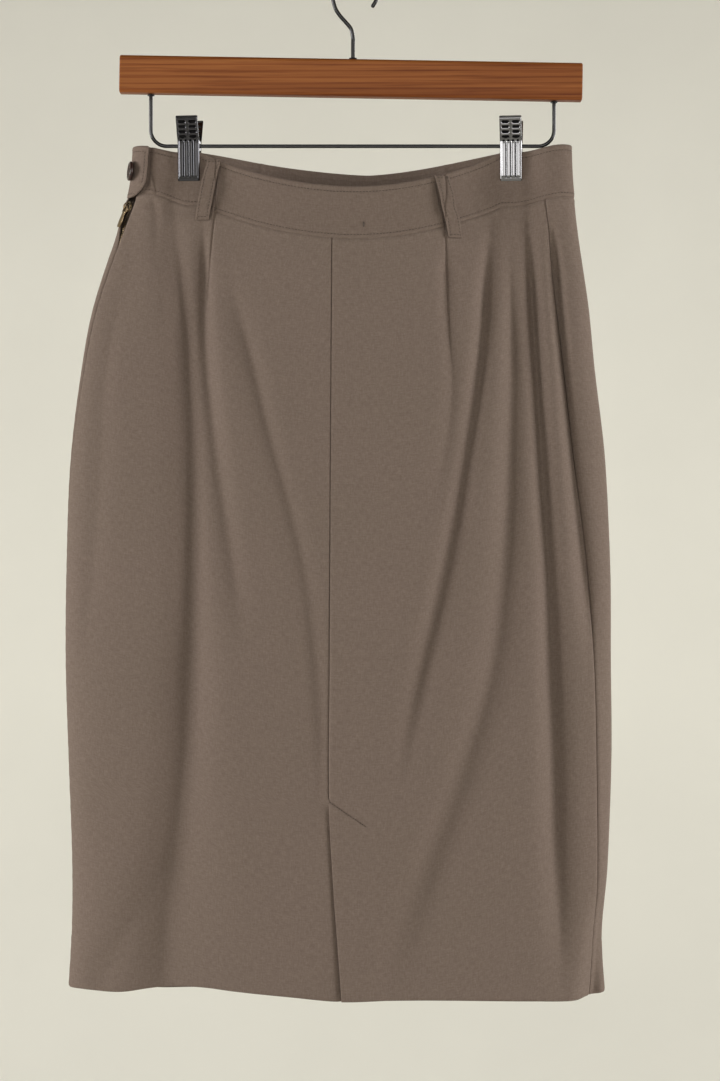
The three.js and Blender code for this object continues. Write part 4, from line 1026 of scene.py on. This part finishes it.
# ---- button ----
button = {"level": -160.5, "ring": 4.09, "gap": 1.1, "lean": 22, "holeRadius": 0.95, "holeSpread": 1.9,
          "holeDeep": 1.5, "faceFrom": 4.9, "faceHeight": 1.75, "thread": 0.42,
          "section": table("radius height", (0.02, 0), (4, 0), (6.6, 0.1), (7.4, 0.5), (7.8, 1.2),
                           (7.75, 1.9), (7.2, 2.6), (6.6, 2.8), (6.0, 2.65), (5.2, 2.1))}
buttonOut = band["proud"] + tabLiftAt(np.float64(button["ring"])) + button["gap"]
buttonAxes, buttonOrigin = frameOn(button["ring"], button["level"], buttonOut)
lean = math.radians(button["lean"])  # on its thread it leans round to the side
buttonAxes = np.stack([math.cos(lean) * buttonAxes[0] + math.sin(lean) * buttonAxes[2], buttonAxes[1],
                       math.cos(lean) * buttonAxes[2] - math.sin(lean) * buttonAxes[0]])

# A turned disc: rows from the middle of its back, round the rim and in over its dished face, with
# four holes let in where the face is near a hole's middle.
faceRadii = np.linspace(button["faceFrom"], 0.02, 26)
faceHeights = button["faceHeight"] + 0.25 * rampUp(3.8, 4.9, faceRadii)
discRadius = np.concatenate([button["section"]["radius"], faceRadii])[:, None]
disc = pointsOf(discRadius * np.cos(anglesRound(96)), discRadius * np.sin(anglesRound(96)),
                np.concatenate([button["section"]["height"], faceHeights])[:, None])
face = disc[-len(faceRadii):]
for sx in (-1, 1):
    for sy in (-1, 1):
        away = np.hypot(face[..., 0] - sx * button["holeSpread"], face[..., 1] - sy * button["holeSpread"])
        inHole = rampUp(button["holeRadius"] + 0.12, button["holeRadius"] - 0.12, away)
        face[..., 2] -= button["holeDeep"] * inHole
threadCentres = np.array([(side * button["holeSpread"] + step, 0, 1.95)
                          for side in (-1, 1) for step in (-0.35, 0, 0.35)])
threadPart = barsPart(threadCentres, np.tile([0.0, 1.0, 0.0], (6, 1)), np.tile([0.0, 0.0, 1.0], (6, 1)),
                      (2 * button["holeSpread"] + 0.9, button["thread"], 0.5))
addPiece("waistButtonHorn", movedParts([stackPart(disc), threadPart], buttonAxes, buttonOrigin),
         [hornCast, threadTaupe], ["waist_button"], materialOf=[0, 1])
print("stage 7: button")

# ---- hanger ----
bar = {"length": 369.6, "height": 30, "depth": 14, "round": 3, "end": 1.2, "tilt": 1, "level": -86.2,
       "middle": -1.6}
hook = {"wire": 3.2, "inside": 16.7, "middle": 1.5, "stem": 0,
        "sweep": table("x z", (-1.6, -46.5), (-5.9, -40.9), (-10.6, -35.6), (-14.2, -29.6))}


def barMiddleAt(x):
    return bar["level"] - (x - bar["middle"]) * math.tan(math.radians(bar["tilt"]))


# A rounded rectangle's outline, with a point just past each corner so that the flats stay flat.
def roundedRectangle(halfWidth, halfHeight, corner, steps=7, past=0.5):
    points = []
    for k, (sx, sy) in enumerate(((1, 1), (-1, 1), (-1, -1), (1, -1))):
        angle = np.linspace(k, k + 1, steps) * math.pi / 2
        arc = pointsOf(sx * (halfWidth - corner) + corner * np.cos(angle),
                       sy * (halfHeight - corner) + corner * np.sin(angle))
        ahead = pointsOf(-np.sin(angle), np.cos(angle))
        points += [arc[0] - past * ahead[0], *arc, arc[-1] + past * ahead[-1]]
    return np.array(points)


bend = np.linspace(0, math.pi / 2, 5)
endInset, endReach = bar["end"] * (1 - np.sin(bend)), bar["end"] * (1 - np.cos(bend))
halfLength = bar["length"] / 2
between = np.linspace(3 - halfLength, halfLength - 3, 9)
stations = np.concatenate([-halfLength + endReach, between, halfLength - endReach[::-1]])
insets = np.concatenate([endInset, 0 * between, endInset[::-1]])
barLoops = []
for station, inset in zip(stations, insets):
    outline = roundedRectangle(bar["depth"] / 2 - inset, bar["height"] / 2 - inset,
                               bar["round"] - inset * 0.6)
    barLoops.append(pointsOf(station, outline[:, 0], outline[:, 1]))
tilt = math.radians(bar["tilt"])
barAxes = np.array([[math.cos(tilt), 0, -math.sin(tilt)], [0, 1, 0], [math.sin(tilt), 0, math.cos(tilt)]])
barMiddle = (bar["middle"], 0, bar["level"])
addPiece("hangerBarBeech", movedParts([stackPart(np.array(barLoops))], barAxes, barMiddle),
         [beechStained], ["hanger_bar"])


def arcPoints(cx, cz, radius, fromDegrees, toDegrees, count):
    angle = np.radians(np.linspace(fromDegrees, toDegrees, count))
    return pointsOf(cx + radius * np.cos(angle), 0 * angle, cz + radius * np.sin(angle))


def smoothPath(points, count):  # a smooth curve through points, by its running length
    run = lengthsAlong(points, 0)
    at = np.linspace(0, run[-1], count)
    return pointsOf(*(curveThrough(run, points[:, k], at) for k in range(3)))


def collarPart(x, z, radius, height):  # a small pressed collar where a wire enters the wood
    section = np.array([(0.6, -0.5), (0.98, -0.42), (1, 0), (0.98, 0.42), (0.6, 0.5)]) * (radius, height)
    angle, out, up = anglesRound(20), section[:, :1], section[:, 1:]
    return stackPart(pointsOf(x + out * np.cos(angle), out * np.sin(angle), z + up))


yAxis = np.array([0.0, 1.0, 0.0])
hookFoot = barMiddleAt(hook["stem"]) + bar["height"] / 2 + 0.35
stem = pointsOf(hook["stem"], 0, np.array([hookFoot, hookFoot + 6, hookFoot + 12, -53.5]))
hookArc = arcPoints(hook["middle"], -hook["inside"], hook["inside"] + hook["wire"] / 2, 190, -38, 17)
sweep = pointsOf(hook["sweep"]["x"], 0, hook["sweep"]["z"])
hookPath = smoothPath(np.concatenate([stem, sweep, hookArc]), 110)
addPiece("hangerHookChrome", [rodPart(hookPath, yAxis, hook["wire"] / 2, 18),
                              collarPart(hook["stem"], hookFoot + 0.6, 3.3, 1.2)],
         [chromeWire], ["hanger_hook"])

leftTop, rightTop = (barMiddleAt(wire[end]) - bar["height"] / 2 - 0.35 for end in ("left", "right"))
corner = wire["level"] + wire["bend"]
fromLeft, fromRight = wire["left"] + wire["bend"], wire["right"] - wire["bend"]
wirePath = np.concatenate([
    pointsOf(wire["left"], 0, np.linspace(leftTop, corner + 0.5, 6)),
    arcPoints(fromLeft, corner, wire["bend"], 180, 270, 14),
    pointsOf(np.linspace(fromLeft + 1, fromRight - 1, 30), 0, wire["level"]),
    arcPoints(fromRight, corner, wire["bend"], 270, 360, 14),
    pointsOf(wire["right"], 0, np.linspace(corner + 0.5, rightTop, 6))])
addPiece("hangerWireChrome", [rodPart(wirePath, yAxis, wire["diameter"] / 2, 18),
                              collarPart(wire["left"], leftTop - 0.7, 2.9, 1.3),
                              collarPart(wire["right"], rightTop - 0.7, 2.9, 1.3)],
         [chromeWire], ["hanger_wire"])
print("stage 8: bar, hook and wire")

# ---- clips ----
jawTip = pressed + band["proud"] + 0.4
jawTable = table("z y", (clip["handle"], clip["spread"]), (14, 9.6), (6, 6.2), (3.4, 5.0), (1, 4.5),
                 (-12, 3.75), (-24, jawTip + 0.3), (-clip["jaw"], jawTip))
press = {"ribs": (-5.6, -1.9, 1.9, 5.6), "ribHalf": 1.62, "ribHigh": 0.7, "ribTop": 3.6, "ribFoot": -24.6,
         "grooves": (-3.75, 0, 3.75), "slots": (-4.2, 4.2), "slotHalf": 3.1, "slotTall": 1.25,
         "slotRows": (6.6, 10.3, 14.0, 17.7), "slotDeep": 0.7, "edgeFrom": 7.6, "edgeBent": 0.9,
         "topCurl": 1.1, "tipCurl": 0.7}


def roundedOver(distance, half, power):  # 1 in the middle, falling to 0 at half in a rounded curve
    return np.sqrt(np.maximum(0, 1 - (distance / half) ** power))


# The relief pressed into a jaw: four upright ribs below the wire, two columns of slots in the
# raised handle, and edges that are bent back.
def jawRelief(u, v):
    out = 0.5 * rampUp(5.2, 6.2, v)
    inRib = (rampUp(press["ribTop"] + 0.5, press["ribTop"] - 0.7, v)
             * rampUp(press["ribFoot"] - 1.3, press["ribFoot"] + 0.6, v))
    for place in press["ribs"]:
        out = out + press["ribHigh"] * roundedOver(u - place, press["ribHalf"], 4) * inRib
    for place in press["slots"]:
        inSlot = rampUp(press["slotHalf"] + 0.35, press["slotHalf"] - 0.35, np.abs(u - place))
        for row in press["slotRows"]:
            out = out - press["slotDeep"] * roundedOver(v - row, press["slotTall"], 2) * inSlot
    edge = np.maximum(0, np.abs(u) - press["edgeFrom"]) / (clip["halfWidth"] - press["edgeFrom"])
    topCurl = press["topCurl"] * rampUp(clip["handle"] - 1.8, clip["handle"], v)
    tipCurl = press["tipCurl"] * rampUp(1.6 - clip["jaw"], -clip["jaw"], v)
    return out - press["edgeBent"] * edge ** 2 - topCurl - tipCurl


# Where a jaw's faces get painted shade: a near-black colour standing for the shadow in its slots and in the
# narrow grooves between and above its ribs.
def jawShade(u, v):
    dark = np.zeros(u.shape, bool)
    for place in press["slots"]:
        for row in press["slotRows"]:
            across, up = (u - place) / (press["slotHalf"] - 0.2), (v - row) / (press["slotTall"] - 0.15)
            dark |= across ** 4 + up ** 2 < 1
    for place in press["grooves"]:
        dark |= (np.abs(u - place) < 0.44) & (v < press["ribTop"] - 1) & (v > press["ribFoot"] - 0.4)
    for place in press["ribs"]:
        dark |= ((u - place) / 1.1) ** 2 + ((v - press["ribTop"] - 0.2) / 0.8) ** 2 < 1
    return dark


# A jaw is a sheet of pressed steel with two ears round the wire, and each face's painted shade.
def jawParts(way, earX):
    u = mix(-clip["halfWidth"], clip["halfWidth"], fractions(58, (0, 1.5, 0.04), (1, 1.5, 0.04)))
    u, v = np.broadcast_arrays(u[None, :], np.linspace(clip["handle"], -clip["jaw"], 130)[:, None])
    slope = (column(jawTable, "y", v + 0.3) - column(jawTable, "y", v - 0.3)) / 0.6
    normal = unit(pointsOf(0, 1, -slope))
    outer = pointsOf(u, column(jawTable, "y", v) + clip["sheet"], v) + normal * jawRelief(u, v)[..., None]
    sheet = sheetPart(outer[:, ::-1], normal[:, ::-1], clip["sheet"] + jawRelief(u, v)[:, ::-1] * 0.7)
    shade = np.zeros(len(sheet[1]), dtype=int)
    cells = jawShade((u[1:, 1:] + u[1:, :-1]) / 2, (v[1:, 1:] + v[:-1, 1:]) / 2)[:, ::-1]
    shade[:cells.size] = cells.ravel()
    ear = np.concatenate([plateLoops(superOval(4.0, 4.0, 4, 40) + (0.4, 0), 0.8, 0.25),
                          plateLoops(superOval(1.95, 1.95, 2, 40), 0.8, 0.2, inwards=-1)[::-1]])
    ears = [ringPart(pointsOf(ear[..., 2] + end * earX, ear[..., 0], ear[..., 1])) for end in (-1, 1)]
    return movedParts([sheet, *ears], np.diag([1, way, 1]), 0), [shade, 0, 0]


yaw = math.radians(-clip["yaw"])
clipAxes = np.array([[math.cos(yaw), math.sin(yaw), 0], [-math.sin(yaw), math.cos(yaw), 0], [0, 0, 1]])
coil = {"radius": 2.85, "wire": 0.55, "half": 4.4, "turns": 7}
coilTurn = np.linspace(0, coil["turns"] * fullTurn, 200)
coilSide = pointsOf(0, coil["radius"] * np.cos(coilTurn), coil["radius"] * np.sin(coilTurn))
coilPath = coilSide + pointsOf(np.linspace(-coil["half"], coil["half"], 200), 0, 0)
for name in ("left", "right"):
    origin = np.array([clip[name], 0, wire["level"]])
    for side, way, earX in (("front", -1, 8.2), ("back", 1, 6.6)):
        parts, shades = jawParts(way, earX)
        addPiece("clip_%s_%s_chrome" % (name, side), movedParts(parts, clipAxes, origin),
                 [chromeSheets[name], chromeShade], ["clip_%s_%s_jaw" % (name, side)],
                 materialOf=shades)
    addPiece("clip_%s_coil" % name, [rodPart(coilPath + origin, coilSide, coil["wire"], 8)],
             [chromeWire], ["clip_%s_spring" % name])
print("stage 9: clips")

# ---- studio ----
studio = {"floor": -2300, "radius": 4400, "curve": 1500, "wallTop": 3200, "around": 96, "glow": 0.02,
          "paper": "#E9E7DF", "ambient": "#F4F1E8", "ambientPower": 0.06, "window": "#FFFDFA"}
# Two windows at the sides, soft lights in the room in front and behind, and a wash for the wall.
lights = {
    "windowLeft": {"place": (-2500, -640, -230), "aim": (0, 0, -330), "size": (900, 1100), "power": 44},
    "windowRight": {"place": (2500, -640, -230), "aim": (0, 0, -330), "size": (900, 1100), "power": 41},
    "roomFront": {"place": (0, -3200, 100), "aim": (0, 0, -420), "size": (1300, 1300), "power": 16},
    "roomBack": {"place": (1500, 2700, 300), "aim": (0, 0, -430), "size": (1300, 1300), "power": 26},
    "wallWash": {"place": (0, 1400, -420), "aim": (0, 4400, -380), "size": (1500, 1500), "power": 34,
                 "colour": "#FFFFFB"},
}


# Matt studio paper: an even pale sweep that curves up from the floor to the walls.
def studioPaper(name):
    material, tree, inObject, onUv = newMaterial(name)
    fibre = addNode(tree, "ShaderNodeTexNoise", {"Vector": inObject, "Scale": 3.0, "Detail": 2.0})
    tone = rampOf(tree, fibre, (0.3, "#E6E4DC"), (0.7, studio["paper"]))
    return finishMaterial(material, tree, {
        "Base Color": tone, "Roughness": 0.95, "Emission Color": linear(studio["paper"]),
        "Emission Strength": studio["glow"]})


turns = np.linspace(0, math.pi / 2, 12)
profile = np.concatenate([[(1, studio["floor"])],
                          pointsOf(studio["radius"] - studio["curve"] + studio["curve"] * np.sin(turns),
                                   studio["floor"] + studio["curve"] * (1 - np.cos(turns))),
                          [(studio["radius"], studio["wallTop"])]])
around = anglesRound(studio["around"])
sweepPoints = pointsOf(profile[:, :1] * np.cos(around), profile[:, :1] * np.sin(around), profile[:, 1:])
paperFaces = gridFaces(*sweepPoints.shape[:2], wrapColumns=True)[:, ::-1].tolist()
paperFaces.append(list(range(studio["around"])))
paperMesh = newMesh("studioPaper", sweepPoints, paperFaces, [studioPaper("studioPaperMatt")])
addObject("studioPaper", paperMesh)

world = bpy.data.worlds.new("studioWorld")
world.use_nodes = True
background = world.node_tree.nodes["Background"].inputs
background["Color"].default_value = linear(studio["ambient"])
background["Strength"].default_value = studio["ambientPower"]
bpy.context.scene.world = world
bpy.context.scene.view_settings.view_transform = "Standard"
for name, one in lights.items():
    data = bpy.data.lights.new(name, "AREA")
    data.shape = "RECTANGLE"
    data.size, data.size_y = one["size"][0] * mm, one["size"][1] * mm
    data.energy = one["power"]
    data.color = linear(one.get("colour", studio["window"]))[:3]
    lamp = addObject(name, data)
    lamp.location = [value * mm for value in one["place"]]
    x, y, z = np.array(one["aim"], float) - np.array(one["place"], float)
    lamp.rotation_euler = (math.atan2(math.hypot(x, y), -z), 0, math.atan2(-x, y))
    lamp.visible_camera = False
print("stage 10: studio")
